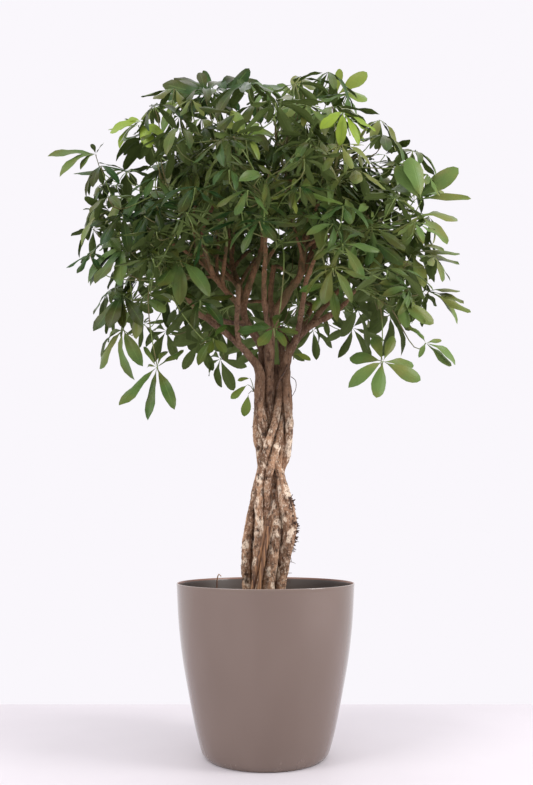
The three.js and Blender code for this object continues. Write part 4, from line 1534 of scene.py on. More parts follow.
FEATURES = (
    Feature((0.344, -0.1, 1.236), (0.2, -0.93, 0.3), 0.13, (
        (411, 155), (468, 156), (388, 172), (392, 196),
    ), wide=1.3, tint=0.7, lean=0.3),
    Feature((0.343, -0.15, 1.18), (0.35, -0.5, 0.8), 0.12, (
        (464, 212), (448, 241), (402, 240), (384, 206), (392, 190),
    ), tint=0.7),
    Feature((0.341, -0.06, 1.122), (0.3, -0.35, 0.9), 0.13, (
        (459, 245), (461, 267), (438, 234), (426, 284), (385, 264), (364, 239), (371, 252),
    ), tint=0.9, lean=0.9),
    Feature((0.392, 0, 1.049), (0.5, -0.3, 0.8), 0.115, (
        (471, 314), (475, 323), (462, 303), (455, 286), (410, 292), (424, 305),
    ), tint=0.85, lean=0.9),
    Feature((0.364, -0.08, 0.903), (0.3, -0.8, 0.5), 0.095, (
        (411, 323), (440, 341), (464, 359), (449, 370), (420, 355),
    ), wide=0.85, tint=0.75),
    Feature((0.26, -0.12, 0.852), (0.05, -0.93, 0.35), 0.1, (
        (396, 338), (371, 336), (346, 353), (351, 380), (378, 395), (421, 386), (415, 367),
    ), wide=1.15, tint=0.7, lean=0.9),
    Feature((-0.243, -0.1, 0.843), (-0.1, -0.86, 0.5), 0.138, (
        (116, 407), (150, 426), (177, 408), (141, 363), (184, 352), (143, 347), (168, 343),
    ), wide=0.8, tint=0.75, lean=0.9),
    Feature((-0.279, -0.08, 1.013), (-0.55, -0.5, 0.65), 0.118),
    Feature((-0.328, -0.06, 0.939), (-0.65, -0.35, 0.65), 0.12, (
        (90, 348), (93, 367), (117, 379), (96, 335), (140, 358),
    )),
    Feature((-0.313, -0.15, 1.108), (-0.6, -0.5, 0.6), 0.125, (
        (72, 277), (79, 278), (101, 285), (119, 284), (88, 245),
    ), tint=0.3),
    Feature((-0.42, 0, 1.4), (-0.12, -0.3, 0.93), 0.12, (
        (47, 153), (55, 162), (77, 160), (91, 142), (104, 144),
    ), wide=0.95, tint=0.75, lean=0.9),
    Feature((-0.334, -0.06, 1.33), (-0.2, -0.35, 0.9), 0.125, (
        (72, 174), (92, 190), (84, 202), (100, 166), (130, 196),
    )),
    Feature((-0.368, -0.06, 1.228), (-0.5, -0.35, 0.75), 0.12, (
        (70, 232), (84, 212), (98, 221), (85, 198), (120, 230),
    ), tint=0.6),
    Feature((-0.307, -0.06, 1.446), (-0.3, -0.45, 0.85), 0.1, (
        (116, 139), (106, 132), (146, 147), (164, 138), (125, 119),
    ), young=0.8),
    Feature((-0.125, -0.04, 1.545), (-0.1, -0.7, 0.7), 0.14, (
        (200, 72), (172, 77), (160, 91), (250, 72), (264, 79), (192, 114), (232, 112),
    ), wide=1.1, tint=0.1, lean=1.3),
    Feature((-0.202, -0.08, 1.496), (-0.35, -0.6, 0.7), 0.11, (
        (137, 116), (147, 106), (158, 122), (190, 120),
    ), young=0.2, tint=0.4, lean=1.0),
    Feature((-0.038, -0.06, 1.522), (0, -0.72, 0.7), 0.115, (
        (262, 77), (284, 83), (236, 80), (282, 99), (262, 118),
    ), wide=1.2, lean=1.3),
    Feature((0.181, 0.02, 1.57), (0.15, -0.92, 0.35), 0.108, (
        (337, 71), (370, 70), (371, 98), (313, 90), (353, 86),
    ), young=0.35),
    Feature((0.078, 0.04, 1.575), (0.05, -0.8, 0.6), 0.1, (
        (297, 72), (276, 86), (318, 106), (283, 116), (306, 118),
    ), tint=0.7, lean=0.9),
    Feature((0.19, -0.1, 1.453), (0.2, -0.5, 0.85), 0.09, (
        (321, 129), (340, 142), (362, 143), (377, 137), (328, 117),
    ), young=0.8),
    Feature((0.286, -0.06, 1.37), (0.4, -0.4, 0.82), 0.105, (
        (418, 149), (402, 143), (408, 137), (396, 165), (352, 160),
    )),
    Feature((0.05, -0.28, 1.177), (0.1, -0.65, 0.75), 0.12, (
        (300, 168), (254, 163), (262, 174), (330, 178), (346, 197), (270, 200), (296, 214),
    ), young=0.2, wide=0.7, tint=0.55, lean=0.05),
    Feature((0.018, -0.18, 0.913), (0, -0.72, 0.7), 0.088, (
        (240, 322), (236, 337), (262, 350), (285, 345), (300, 337), (292, 318), (276, 308),
    ), tint=0.4),
    Feature((-0.235, -0.22, 1.173), (-0.3, -0.75, 0.6), 0.118, tint=0.05),
)


@dataclass
class Leaf:
    """One palmate leaf on a shoot.

    The droop is an angle in radians, and `fan` and `back_turn` are in degrees. For a leaf in front,
    the second value of `outward` is taken off the first, and the second value of `sway` is added.
    The three values of `lengths` are the base, the swell and the pace of a leaflet's share of the
    reach, which is the base plus the swell times the cosine of its turn times the pace.
    """

    shoot: int
    hub: Line
    tilt: Line
    reach: float
    droop: float
    face: Line | None = None
    tips: tuple[Spot, ...] = ()
    young: float = 0.0
    wide: float = 1.0
    tint: float = 0.5
    lean: float = 0.0
    lift: float = 0.16
    steepest: float = 1.4
    leaflets: int = 6
    outward: Pair = (0.62, 0.36)
    upward: float = 0.72
    sway: Pair = (0.35, 0.3)
    fan: float = 300.0
    back_turn: float = 163.0
    lengths: Triple = (0.8, 0.2, 0.62)
    back_shares: Pair = (0.56, 0.5)
    up: Line = field(default_factory=lambda: UP)
    ahead: Line = field(default_factory=lambda: UP)

    def follow(self, feature: Feature) -> None:
        """Takes the look of a leaf that the front view shows.

        Args:
            feature: That leaf.
        """
        self.hub = np.array(feature.hub)
        self.face = unit(feature.face)
        for name in ("reach", "tips", "young", "wide", "tint", "lean"):
            setattr(self, name, getattr(feature, name))

    def aim(self, tip: Line, out: Line) -> None:
        """Turns the leaf to its face, or outwards and up, with its middle away from the shoot.

        Args:
            tip: The shoot's tip.
            out: The way out of the crown at the leaf.
        """
        front = min(1.0, max(0.0, -float(out[1])))
        outward = out * (self.outward[0] - self.outward[1] * front)
        lean = outward + UP * self.upward + self.tilt * (self.sway[0] + self.sway[1] * front)
        self.up = self.face if self.face is not None else unit(lean)
        self.ahead = square_to(self.up, self.hub - tip)

    def plan(self) -> list[tuple[Line, float]]:
        """Spreads the leaflets: to their tips in the picture, or as a fan with two at the back.

        Returns:
            The direction and the length of each leaflet.
        """
        if self.tips:
            sizes = [min(self.reach, self.steepest * SIGHT.gap(spot, self.hub)) for spot in self.tips]
            ways = [SIGHT.way_to(spot, self.hub, size, self.up) for spot, size in zip(self.tips, sizes)]
            return [(unit(way + self.up * self.lift), size) for way, size in zip(ways, sizes)]
        across = np.cross(self.up, self.ahead)
        step = math.radians(self.fan) / self.leaflets
        back = math.radians(self.back_turn)
        turns = [(j - (self.leaflets - 1) / 2) * step for j in range(self.leaflets)]
        base, swell, pace = self.lengths
        shares = [*(base + swell * math.cos(turn * pace) for turn in turns), *self.back_shares]
        level = [self.ahead * math.cos(turn) + across * math.sin(turn) for turn in [*turns, back, -back]]
        return [
            (way * math.cos(self.droop) - self.up * math.sin(self.droop), self.reach * share)
            for way, share in zip(level, shares)
        ]


@dataclass(frozen=True)
class LeafletShape:
    """A leaflet of length 1 along +X with its upper face to +Z.

    Its outline is a sine that is pushed outwards by `belly` and rounded by `fullness`. Its edge
    lies back by a share `edge_back` of the way across, and waves as `ripple_rate` and
    `ripple_slant` say. Its thickness grows towards the stalk up to `root_swell`.
    """

    width: float
    curl: float
    fold: float
    wave: float
    sweep: float
    neck: float = 0.08
    belly: float = 1.7
    fullness: float = 0.58
    stations: tuple[float, ...] = (0.12, 0.28, 0.43, 0.57, 0.71, 0.85, 0.95)
    columns: tuple[float, ...] = (-1.0, -0.5, 0.0, 0.5, 1.0)
    stalk: float = 0.013
    depth: float = 0.007
    edge_back: float = 0.12
    ripple_rate: float = 12.0
    ripple_slant: float = 2.0
    root_swell: float = 1.5

    def half_width(self, along: float) -> float:
        """Half the width at a share of the length."""
        blade = max(0.0, (along - self.neck) / (1 - self.neck))
        return max(self.stalk, self.width * math.sin(math.pi * blade**self.belly) ** self.fullness)

    def spot(self, along: float, side: float, face: float) -> Triple:
        """A point of the leaflet.

        Args:
            along: How far along the leaflet it is, from 0 to 1.
            side: How far across it is, from -1 to 1.
            face: 1 on the upper face, -1 on the lower one and 0 between them.

        Returns:
            The point.
        """
        half = self.half_width(along)
        across = side * half
        x = along * math.cos(self.curl * along) - abs(across) * self.edge_back
        bend = -self.curl * along * along + self.fold * abs(across)
        swing = math.sin(self.ripple_rate * along + self.ripple_slant * side)
        ripple = self.wave * side * side * swing
        thick = face * self.depth * 0.5 * (1 - side * side) * (self.root_swell - along)
        return (x, across + self.sweep * along * along, bend + ripple + thick)

    def build(self, name: str, home: bpy.types.Collection) -> None:
        """Makes the leaflet.

        Args:
            name: Its name.
            home: The collection of shapes that it goes into.
        """
        inner = self.columns[1:-1]
        points = [self.spot(0.0, 0.0, 0.0)]
        layout = [(0.0, 0.5)]
        top: list[list[int]] = []
        low: list[list[int]] = []
        for along in self.stations:
            first = len(points)
            for side, face in [*((s, 1.0) for s in self.columns), *((s, -1.0) for s in inner)]:
                points.append(self.spot(along, side, face))
                layout.append((along, 0.5 + 0.5 * side))
            top.append(list(range(first, first + 5)))
            low.append([first, first + 5, first + 6, first + 7, first + 4])
        tip = len(points)
        points.append((math.cos(self.curl), self.sweep, -self.curl))
        layout.append((1.0, 0.5))

        faces: list[tuple[int, ...]] = []
        kinds: list[float] = []
        for rows, lower in ((top, False), (low, True)):
            sheet = [(0, rows[0][k], rows[0][k + 1]) for k in range(4)]
            for near, far in zip(rows, rows[1:]):
                sheet += [(near[k], far[k], far[k + 1], near[k + 1]) for k in range(4)]
            sheet += [(rows[-1][k], tip, rows[-1][k + 1]) for k in range(4)]
            faces += [(face[0], *face[:0:-1]) for face in sheet] if lower else sheet
            kinds += [float(lower)] * len(sheet)
        mesh = bpy.data.meshes.new(name)
        mesh.from_pydata(points, [], faces)
        mesh.materials.append(Finishes.LEAF.material)
        uv = mesh.uv_layers.new(name="UVMap")
        corner = [layout[loop.vertex_index] for loop in mesh.loops]
        uv.data.foreach_set("uv", np.ravel(corner))
        layer = mesh.attributes.new("under", "FLOAT", "FACE")
        layer.data.foreach_set("value", kinds)
        rim = {*(row[0] for row in top), *(row[-1] for row in top), 0, tip}
        mesh.shade_smooth()
        for edge in mesh.edges:
            edge.use_edge_sharp = edge.vertices[0] in rim and edge.vertices[1] in rim
        home.objects.link(bpy.data.objects.new(name, mesh))


LEAFLET_SHAPES = (
    LeafletShape(0.165, 0.24, 0.16, 0.02, 0.0),
    LeafletShape(0.15, 0.12, -0.28, 0.024, 0.04),
    LeafletShape(0.17, 0.42, 0.42, 0.018, -0.05),
    LeafletShape(0.14, 0.1, 0.1, 0.028, -0.03),
    LeafletShape(0.19, 0.3, -0.2, 0.02, 0.06),
    LeafletShape(0.155, 0.5, 0.3, 0.022, 0.03),
)


@dataclass
class Foliage:
    """Grows leaflets and stalks from sketches."""

    sides: int = 6
    shapes: bpy.types.Collection = field(init=False)
    grower: Grower = field(init=False)

    def __post_init__(self) -> None:
        """Makes the leaflet shapes and the tree."""
        self.shapes = bpy.data.collections.new("leaflet_shapes")
        for index, shape in enumerate(LEAFLET_SHAPES):
            shape.build(f"leaflet_{index}", self.shapes)
        self.grower = self.tree()

    def tree(self) -> Grower:
        """Makes the tree that grows leaflets and stalks from a sketch.

        Returns:
            The tree, with the leaflets, the stalks' sides and both materials as inputs.
        """
        tree = Grower("grow_shoot", {
            "Leaflets": "NodeSocketCollection", "Sides": "NodeSocketInt",
            "Leaf Material": "NodeSocketMaterial", "Stalk Material": "NodeSocketMaterial",
        })
        inputs = {"Geometry": tree.given("Geometry"), "Selection": tree.named("blade")}
        parts = tree.node("GeometryNodeSeparateGeometry", inputs, domain="POINT")
        inputs = {"Collection": tree.given("Leaflets"), "Separate Children": True, "Reset Children": True}
        shapes = tree.node("GeometryNodeCollectionInfo", inputs)
        turn = tree.node("FunctionNodeEulerToRotation", {0: tree.named("turn", "FLOAT_VECTOR")})
        size = tree.named("size")
        scale = tree.node("ShaderNodeCombineXYZ", {0: size, 1: size * tree.named("wide"), 2: size})
        placed = tree.node("GeometryNodeInstanceOnPoints", {
            "Points": parts, "Instance": shapes, "Pick Instance": True,
            "Instance Index": tree.named("pick", "INT"), "Rotation": turn, "Scale": scale,
        })
        real = tree.node("GeometryNodeRealizeInstances", {"Geometry": placed})
        leaflets = tree.painted(real, "Leaf Material")
        stalks = tree.painted(tree.tubes(parts.other("Inverted"), tree.given("Sides")), "Stalk Material")
        tree.done(tree.joined(leaflets, stalks))
        return tree

    def grow(self, name: str, sketch: Sketch) -> Piece:
        """Grows one piece.

        Args:
            name: The piece's name.
            sketch: Its leaflets and stalks.

        Returns:
            The piece.
        """
        skins = {"Leaf Material": Finishes.LEAF.material, "Stalk Material": Finishes.STALK.material}
        mesh = sketch.mesh(name)
        return self.grower.grow(name, mesh, Leaflets=self.shapes, Sides=self.sides, **skins)

    def clear(self) -> None:
        """Takes the leaflet shapes away once everything has grown."""
        for shape in list(self.shapes.objects):
            bpy.data.objects.remove(shape)
        bpy.data.collections.remove(self.shapes)


@dataclass
class Crown:
    """The shoots and their leaves, placed by one seeded rule.

    Heights on the crown are sines of the slope seen from its centre. A range is the least and the
    greatest value, and a pair called `..._above` is the least value and the spread above it. Radii
    and pulls are given for both ends of a curve, and pulls are shares of its length. The places of
    petioles are the first, the step and the last, as shares of the way back from a shoot's tip. The
    sway of a leaflet is sideways, and up or down.
    """

    seed: int = 138
    shoot_seed: int = 148
    shoots: int = 38
    inner_shoots: int = 10
    leaves_per_shoot: int = 3
    centre: Line = field(default_factory=lambda: np.array((-0.01, 0.0, 1.168)))
    radii: Line = field(default_factory=lambda: np.array((0.44, 0.385, 0.43)))
    shell: float = 0.64
    inner_shell: float = 0.34
    shell_spread: float = 0.08
    highest: float = 0.97
    lowest: float = -0.5
    lowest_hub: float = 0.925
    tip_turn: float = 0.35
    leaf_turn: float = 0.5
    lean_above: Pair = (0.65, 0.5)
    petiole_above: Pair = (0.105, 0.06)
    droop_above: Pair = (0.02, 0.22)
    spacing: float = 0.112
    push: float = 0.25
    rounds: int = 24
    reach: Pair = (0.096, 0.124)
    outer_share: float = 0.8
    branchlet_first: float = 0.004
    branchlet_stagger: float = 0.017
    branchlet_pulls: Pair = (0.3, 0.35)
    branchlet_lift: float = 0.3
    twig_radii: Pair = (0.0038, 0.0024)
    twig_overlap: float = 0.04
    twig_steps: int = 12
    petiole_radii: Pair = (0.0011, 0.0016)
    petiole_places: Triple = (0.02, 0.05, 0.34)
    petiole_pulls: Pair = (0.4, 0.35)
    petiole_steps: int = 10
    hub_depth: float = 0.006
    hub_swell: float = 1.6
    joint: float = 0.001
    leaflet_lengths: Pair = (0.93, 1.0)
    leaflet_widths: Pair = (0.9, 1.1)
    leaflet_sway: Pair = (0.05, 0.06)
    leaflet_roll: float = 0.22
    leaflet_tint: float = 0.12
    small_leaves: int = 6
    small_starts: Pair = (0.6, 0.98)
    small_way: float = 0.9
    small_petioles: Pair = (0.06, 0.13)
    small_reach: Pair = (0.066, 0.098)
    small_droop: Pair = (0.05, 0.3)
    small_rise: float = 0.5
    small_tilt: Triple = (1.0, 1.0, 0.5)
    shell_leaves: int = 96
    shell_heights: Pair = (-0.42, 0.98)
    shell_turn: float = 0.3
    shell_depths: Pair = (0.8, 0.99)
    shell_reach: Pair = (0.064, 0.092)
    shell_droop: Pair = (0.05, 0.35)
    shell_tilt: Triple = (1.0, 1.0, 0.6)
    opening_half: float = 0.1
    opening_top: float = 1.12
    short_leaves: tuple[int, ...] = (
        8, 17, 21, 29, 31, 36, 38, 44, 46, 47, 52, 55, 61, 62, 67, 68, 69, 70, 81,
    )
    short_share: float = 0.76
    short_tint: float = 0.3
    hang: float = 0.3
    widths: Pair = (0.78, 1.08)
    tint_spread: float = 0.3
    # Painted light for leaves on the right of the crown, and painted shade for leaves low in front.
    right_light: float = 0.5
    front_shade: float = 0.26
    shade_top: float = 0.8
    front_slim: float = 0.2
    tips: list[Line] = field(default_factory=list)
    leaves: list[Leaf] = field(default_factory=list)
    branchlets: list[Cubic] = field(default_factory=list)
    owners: list[str] = field(default_factory=list)

    def share(self, place: Line) -> float:
        """How far out a place is, with 1 at the reach of the hubs."""
        return span((place - self.centre) / self.radii)

    def nearest_shoot(self, place: Line) -> int:
        """The shoot whose tip is nearest to a place."""
        return min(range(len(self.tips)), key=lambda k: span(self.tips[k] - place))

    def place_tips(self, draw: Draw) -> None:
        """Spreads the shoots evenly over the crown.

        Args:
            draw: The random numbers.
        """
        outer_count = self.shoots - self.inner_shoots
        for i in range(self.shoots):
            inner = i >= outer_count
            rank = (i - outer_count + 0.5) / self.inner_shoots if inner else (i + 0.5) / outer_count
            height = self.highest - rank * (self.highest - self.lowest)
            turn = GOLDEN_ANGLE * i + self.tip_turn * draw()
            shell = (self.inner_shell if inner else self.shell) + self.shell_spread * (draw() - 0.5)
            self.tips.append(self.centre + globe_way(turn, height) * self.radii * shell)

    def place_leaves(self, draw: Draw) -> None:
        """Puts the main leaves round each shoot's tip.

        Args:
            draw: The random numbers.
        """
        for shoot, tip in enumerate(self.tips):
            out = unit(tip - self.centre)
            first = square_to(out, UP)
            second = np.cross(out, first)
            start = 2 * math.pi * draw()
            for k in range(self.leaves_per_shoot):
                turn = start + 2 * math.pi * k / self.leaves_per_shoot + self.leaf_turn * (draw() - 0.5)
                lean = draw.above(*self.lean_above)
                length = draw.above(*self.petiole_above)
                side = first * math.cos(turn) + second * math.sin(turn)
                hub = tip + length * (out * math.cos(lean) + side * math.sin(lean))
                tilt = np.array((draw() - 0.5, draw() - 0.5, draw() - 0.5))
                reach = draw.between(*self.reach)
                self.leaves.append(Leaf(shoot, hub, tilt, reach, draw.above(*self.droop_above)))

    def place_features(self) -> None:
        """Gives each feature's place to the nearest leaf that is still free."""
        for feature in FEATURES:
            free = [leaf for leaf in self.leaves if leaf.face is None]
            min(free, key=lambda leaf: span(leaf.hub - feature.hub)).follow(feature)

    def make_room(self) -> None:
        """Pushes hubs apart, and back inside the crown."""
        for _ in range(self.rounds):
            for i, one in enumerate(self.leaves):
                for two in self.leaves[i + 1:]:
                    apart = two.hub - one.hub
                    distance = math.sqrt(apart.dot(apart))
                    if distance >= self.spacing:
                        continue
                    apart = apart * (self.push * (self.spacing - distance) / distance)
                    if one.face is None:
                        one.hub = one.hub - apart
                    if two.face is None:
                        two.hub = two.hub + apart
            for leaf in self.leaves:
                if leaf.face is None:
                    share = max(1.0, self.share(leaf.hub))
                    leaf.hub = (leaf.hub - self.centre) / share + self.centre
                    leaf.hub[2] = max(leaf.hub[2], self.lowest_hub)

    def grow_branchlets(self) -> None:
        """Runs a branchlet to each shoot from the bough that ends nearest to it."""
        boughs = [(name, route[::-1, :3]) for name, routes in STEM_ROUTES.items() for route in routes]
        counts = [0] * len(boughs)
        first_pull, last_pull = self.branchlet_pulls
        for tip in self.tips:
            best = min(range(len(boughs)), key=lambda k: span(boughs[k][1][0] - tip))
            name, line = boughs[best]
            start = back_along(line, self.branchlet_first + self.branchlet_stagger * counts[best])
            counts[best] += 1
            length = span(tip - start)
            leave = unit((tip - start) / length + unit(line[0] - line[1]))
            out = unit(unit(tip - self.centre) + UP * self.branchlet_lift)
            ends = (start + leave * first_pull * length, tip - out * last_pull * length)
            self.branchlets.append(Cubic(start, *ends, tip))
            self.owners.append(name)

    def add_small_leaves(self, draw: Draw) -> None:
        """Adds smaller leaves low on each shoot, which fill the inside of the crown.

        Args:
            draw: The random numbers.
        """
        for shoot, curve in enumerate(self.branchlets):
            way = curve.way(self.small_way)
            for _ in range(self.small_leaves):
                start = curve.at(draw.between(*self.small_starts))
                side = square_to(way, np.array([draw.near(1.0) for _ in range(3)]))
                length = draw.between(*self.small_petioles)
                hub = start + length * unit(side + UP * self.small_rise + way * self.small_rise)
                tilt = np.array([draw.near(spread) for spread in self.small_tilt])
                reach, droop = draw.between(*self.small_reach), draw.between(*self.small_droop)
                self.leaves.append(Leaf(shoot, hub, tilt, reach, droop, leaflets=5))

    def add_shell_leaves(self, draw: Draw) -> None:
        """Adds small leaves all over the crown but for the opening low in front, where wood shows.

        Args:
            draw: The random numbers.
        """
        low, high = self.shell_heights
        for i in range(self.shell_leaves):
            height = high - (i + 0.5) / self.shell_leaves * (high - low)
            way = globe_way(GOLDEN_ANGLE * i + draw.near(self.shell_turn), height)
            hub = self.centre + way * self.radii * draw.between(*self.shell_depths)
            tilt = np.array([draw.near(spread) for spread in self.shell_tilt])
            reach, droop = draw.between(*self.shell_reach), draw.between(*self.shell_droop)
            if abs(hub[0]) < self.opening_half and hub[1] < 0 and hub[2] < self.opening_top:
                continue
            leaf = Leaf(self.nearest_shoot(hub), hub, tilt, reach, droop, leaflets=5 + i % 2)
            self.leaves.append(leaf)

    def add_extra_leaves(self) -> None:
        """Adds the leaves of the second table on the shoots nearest to them."""
        for extra in EXTRA_LEAVES:
            hub = np.array(extra.hub)
            leaf = Leaf(self.nearest_shoot(hub), hub, np.zeros(3), extra.reach, 0.0)
            leaf.follow(extra)
            self.leaves.append(leaf)

    def trim(self) -> None:
        """Makes some of the main leaves smaller and darker than the rule does; the darker tint is painted
        shade.
        """
        for number in self.short_leaves:
            self.leaves[number].reach *= self.short_share
            # Painted shade: these leaves get a darker tint.
            self.leaves[number].tint = self.short_tint

    def plan(self) -> None:
        """Works out every shoot and leaf."""
        draw = Draw(self.seed)
        self.place_tips(draw)
        self.place_leaves(draw)
        self.place_features()
        self.make_room()
        self.grow_branchlets()
        for leaf in self.leaves:
            leaf.leaflets = 6 if self.share(leaf.hub) > self.outer_share else 5
        self.trim()
        more = Draw(self.seed + 1)
        self.add_small_leaves(more)
        self.add_shell_leaves(more)
        self.add_extra_leaves()
        for leaf in self.leaves:
            self.settle(leaf, more)

    def settle(self, leaf: Leaf, draw: Draw) -> None:
        """Turns one leaf to the light, varies its width, and varies its tint with painted light and shade.

        Args:
            leaf: The leaf.
            draw: The random numbers.
        """
        out = unit((leaf.hub - self.centre) / self.radii)
        leaf.aim(self.tips[leaf.shoot], out)
        leaf.droop += self.hang * max(0.0, float(out[2]))
        across = float(leaf.hub[0] / self.radii[0])
        # Painted light and shade: leaves on the right of the crown get a lighter tint, and leaves low in
        # front a darker one.
        leaf.tint += draw.near(self.tint_spread) + max(0.0, across) * self.right_light
        leaf.wide *= draw.between(*self.widths)
        if leaf.face is None:
            front = max(0.0, -float(out[1]))
            low = min(1.0, max(0.0, self.shade_top - float(out[2])))
            leaf.tint -= self.front_shade * front * low
            leaf.wide *= 1 - self.front_slim * front

    def sketch_stalk(self, sketch: Sketch, leaf: Leaf, root: Line, way: Line) -> None:
        """Draws a leaf's stalk.

        Args:
            sketch: What to draw on.
            leaf: The leaf.
            root: Where the stalk starts on the twig.
            way: The twig's direction there.
        """
        start = leaf.hub - leaf.up * self.hub_depth
        length = span(start - root)
        high, low = self.petiole_pulls
        stalk = Cubic(start, start - leaf.up * high * length, root + way * low * length, root)
        shares = np.linspace(0, 1, self.petiole_steps)
        centres = [leaf.hub - leaf.up * self.joint, *(stalk.at(share) for share in shares)]
        radii = np.linspace(*self.petiole_radii, self.petiole_steps)
        sketch.line(centres, [radii[0] * self.hub_swell, *radii])

    def sketch_leaflets(self, sketch: Sketch, leaf: Leaf, draw: Draw) -> None:
        """Draws a point for each leaflet of a leaf.

        Args:
            sketch: What to draw on.
            leaf: The leaf.
            draw: The random numbers.
        """
        level, upright = self.leaflet_sway
        for forward, size in leaf.plan():
            side = np.cross(leaf.up, forward)
            forward = unit(forward + side * draw.near(level) - leaf.up * draw.near(upright))
            above = square_to(forward, square_to(forward, leaf.up) + FRONT * leaf.lean)
            side = np.cross(above, forward)
            roll = draw.near(self.leaflet_roll)
            rolled = side * math.cos(roll) + above * math.sin(roll)
            above = above * math.cos(roll) - side * math.sin(roll)
            sketch.add(
                leaf.hub + forward * self.joint, euler_of(forward, rolled, above), blade=1.0,
                size=size * draw.between(*self.leaflet_lengths),
                wide=leaf.wide * draw.between(*self.leaflet_widths),
                pick=int(draw() * len(LEAFLET_SHAPES)),
                tint=leaf.tint + draw.near(self.leaflet_tint), young=leaf.young,
            )

    def build(self, foliage: Foliage) -> list[Piece]:
        """Grows one piece for each shoot.

        Args:
            foliage: What grows the leaflets.

        Returns:
            The shoots.
        """
        pieces = []
        first, step, last = self.petiole_places
        for shoot, curve in enumerate(self.branchlets):
            draw = Draw(self.shoot_seed + shoot)
            sketch = Sketch()
            shares = np.linspace(BROWN_SHARE - self.twig_overlap, 1, self.twig_steps)
            radii = np.linspace(*self.twig_radii, self.twig_steps)
            sketch.line([curve.at(share) for share in shares], radii)
            own = [leaf for leaf in self.leaves if leaf.shoot == shoot]
            for k, leaf in enumerate(own):
                root = curve.at(1 - min(last, first + step * k))
                self.sketch_stalk(sketch, leaf, root, curve.way(1))
                self.sketch_leaflets(sketch, leaf, draw)
            pieces.append(foliage.grow(f"shoot_{shoot + 1:02d}_leaves", sketch))
        return pieces

    def dress(self, pieces: Sequence[Piece]) -> None:
        """Puts the shoots in their places on the plant."""
        for shoot, piece in enumerate(pieces):
            mount(piece, Slots.LEAF, f"shoot_{shoot + 1:02d}")


def back_along(line: Line, distance: float) -> Line:
    """The place at a distance back along a line of points.

    Args:
        line: The points.
        distance: How far the place is from the first of them.

    Returns:
        The place, which is the last point at the most.
    """
    for near, far in zip(line, line[1:]):
        length = span(far - near)
        if distance <= length:
            return near + (far - near) * (distance / length)
        distance -= length
    return line[-1]


EXTRA_LEAVES = (
    Feature((-0.133, -0.2, 1.441), (-0.2, -0.7, 0.7), 0.13, (
        (200, 68), (171, 75), (158, 88), (224, 70), (184, 114), (204, 118),
    ), wide=1.05, tint=0.12, lean=1.2),
    Feature((0.332, -0.24, 1.176), (0.1, -0.93, 0.35), 0.108, (
        (413, 154), (392, 170),
    ), wide=1.35, tint=0.75),
    Feature((0.162, -0.3, 1.347), (0.15, -0.75, 0.65), 0.08, (
        (321, 129), (340, 142), (362, 143), (377, 137), (328, 117),
    ), young=0.9, tint=0.8, lean=0.5),
    Feature((-0.273, -0.22, 1.37), (-0.35, -0.6, 0.75), 0.092, (
        (116, 139), (106, 132), (146, 147), (164, 138), (125, 119),
    ), young=0.8, tint=0.7, lean=0.5),
    Feature((0.344, -0.105, 1.236), (0.2, -0.93, 0.3), 0.13, (
        (478, 193), (452, 186), (442, 190),
    ), wide=0.5, tint=0.75),
    Feature((0.294, -0.02, 1.16), (0.1, -0.6, 0.75), 0.1, (
        (370, 275), (400, 268), (362, 238), (415, 232),
    ), tint=0.7, lean=0.9),
    Feature((0.303, -0.1, 1), (0.2, -0.75, 0.55), 0.1, (
        (440, 328), (426, 329), (406, 324), (372, 292), (384, 283), (410, 290),
    ), tint=0.8, lean=0.9),
    Feature((-0.327, -0.08, 1.018), (-0.5, -0.7, 0.5), 0.11, (
        (95, 335), (108, 327), (119, 322), (145, 325),
    )),
    Feature((-0.096, -0.05, 1.524), (-0.05, -0.75, 0.6), 0.11, (
        (254, 70), (262, 80), (216, 72), (238, 110), (214, 112),
    ), wide=1.2, tint=0.35, lean=1.3),
    Feature((-0.04, -0.33, 1.275), (0, -0.7, 0.7), 0.092, (
        (236, 103), (258, 118), (222, 120), (281, 126), (232, 150), (262, 152),
    ), young=0.25, tint=0.7, lean=0.6),
    Feature((-0.114, -0.16, 0.895), (-0.1, -0.75, 0.6), 0.07, (
        (197, 365), (208, 354), (200, 338), (226, 350), (226, 326),
    ), young=0.1),
    Feature((0.14, -0.2, 1.16), (0.1, -0.7, 0.7), 0.1, (
        (300, 228), (318, 240), (345, 236), (362, 222), (350, 200), (312, 200),
    ), wide=0.8, tint=0.1),
    Feature((-0.14, -0.2, 0.969), (-0.1, -0.7, 0.7), 0.1, (
        (165, 290), (170, 312), (190, 325), (225, 318), (232, 300), (210, 280),
    ), wide=0.8, tint=0.25),
    Feature((0.142, -0.16, 1.015), (0.1, -0.7, 0.6), 0.09, (
        (300, 292), (310, 312), (338, 318), (362, 300), (352, 275), (318, 268),
    ), young=0.1, wide=0.8, tint=0.2),
    Feature((-0.182, -0.22, 1.051), (-0.2, -0.7, 0.7), 0.105, (
        (150, 270), (158, 290), (182, 300), (210, 285), (205, 258), (170, 240),
    ), tint=0.3),
)


@dataclass(frozen=True)
class Sprout:
    """A tuft of young leaflets straight from the trunk: its root and each leaflet's ends."""

    node: str
    root: Triple
    leaflets: tuple[tuple[Triple, Triple], ...]
    young: float
    stalk_radii: Triple = (0.0013, 0.0009, 0.0007)
    stalk_bow: float = 0.004
    face: Triple = (0.1, -0.85, 0.5)
    wide: float = 1.25
    tint: float = 0.7

    def build(self, foliage: Foliage) -> None:
        """Grows the tuft and puts it on the plant.

        Args:
            foliage: What grows the leaflets.
        """
        sketch = Sketch()
        root = np.array(self.root)
        for index, (base, tip) in enumerate(self.leaflets):
            start, end = np.array(base), np.array(tip)
            elbow = (root + start) / 2 + UP * self.stalk_bow
            sketch.line([root, elbow, start], self.stalk_radii)
            forward = unit(end - start)
            above = square_to(forward, np.array(self.face))
            sketch.add(
                start, euler_of(forward, np.cross(above, forward), above), blade=1.0,
                size=span(end - start), wide=self.wide, pick=index, tint=self.tint,
                young=self.young,
            )
        mount(foliage.grow(self.node + "_leaves", sketch), Slots.LEAF, self.node)


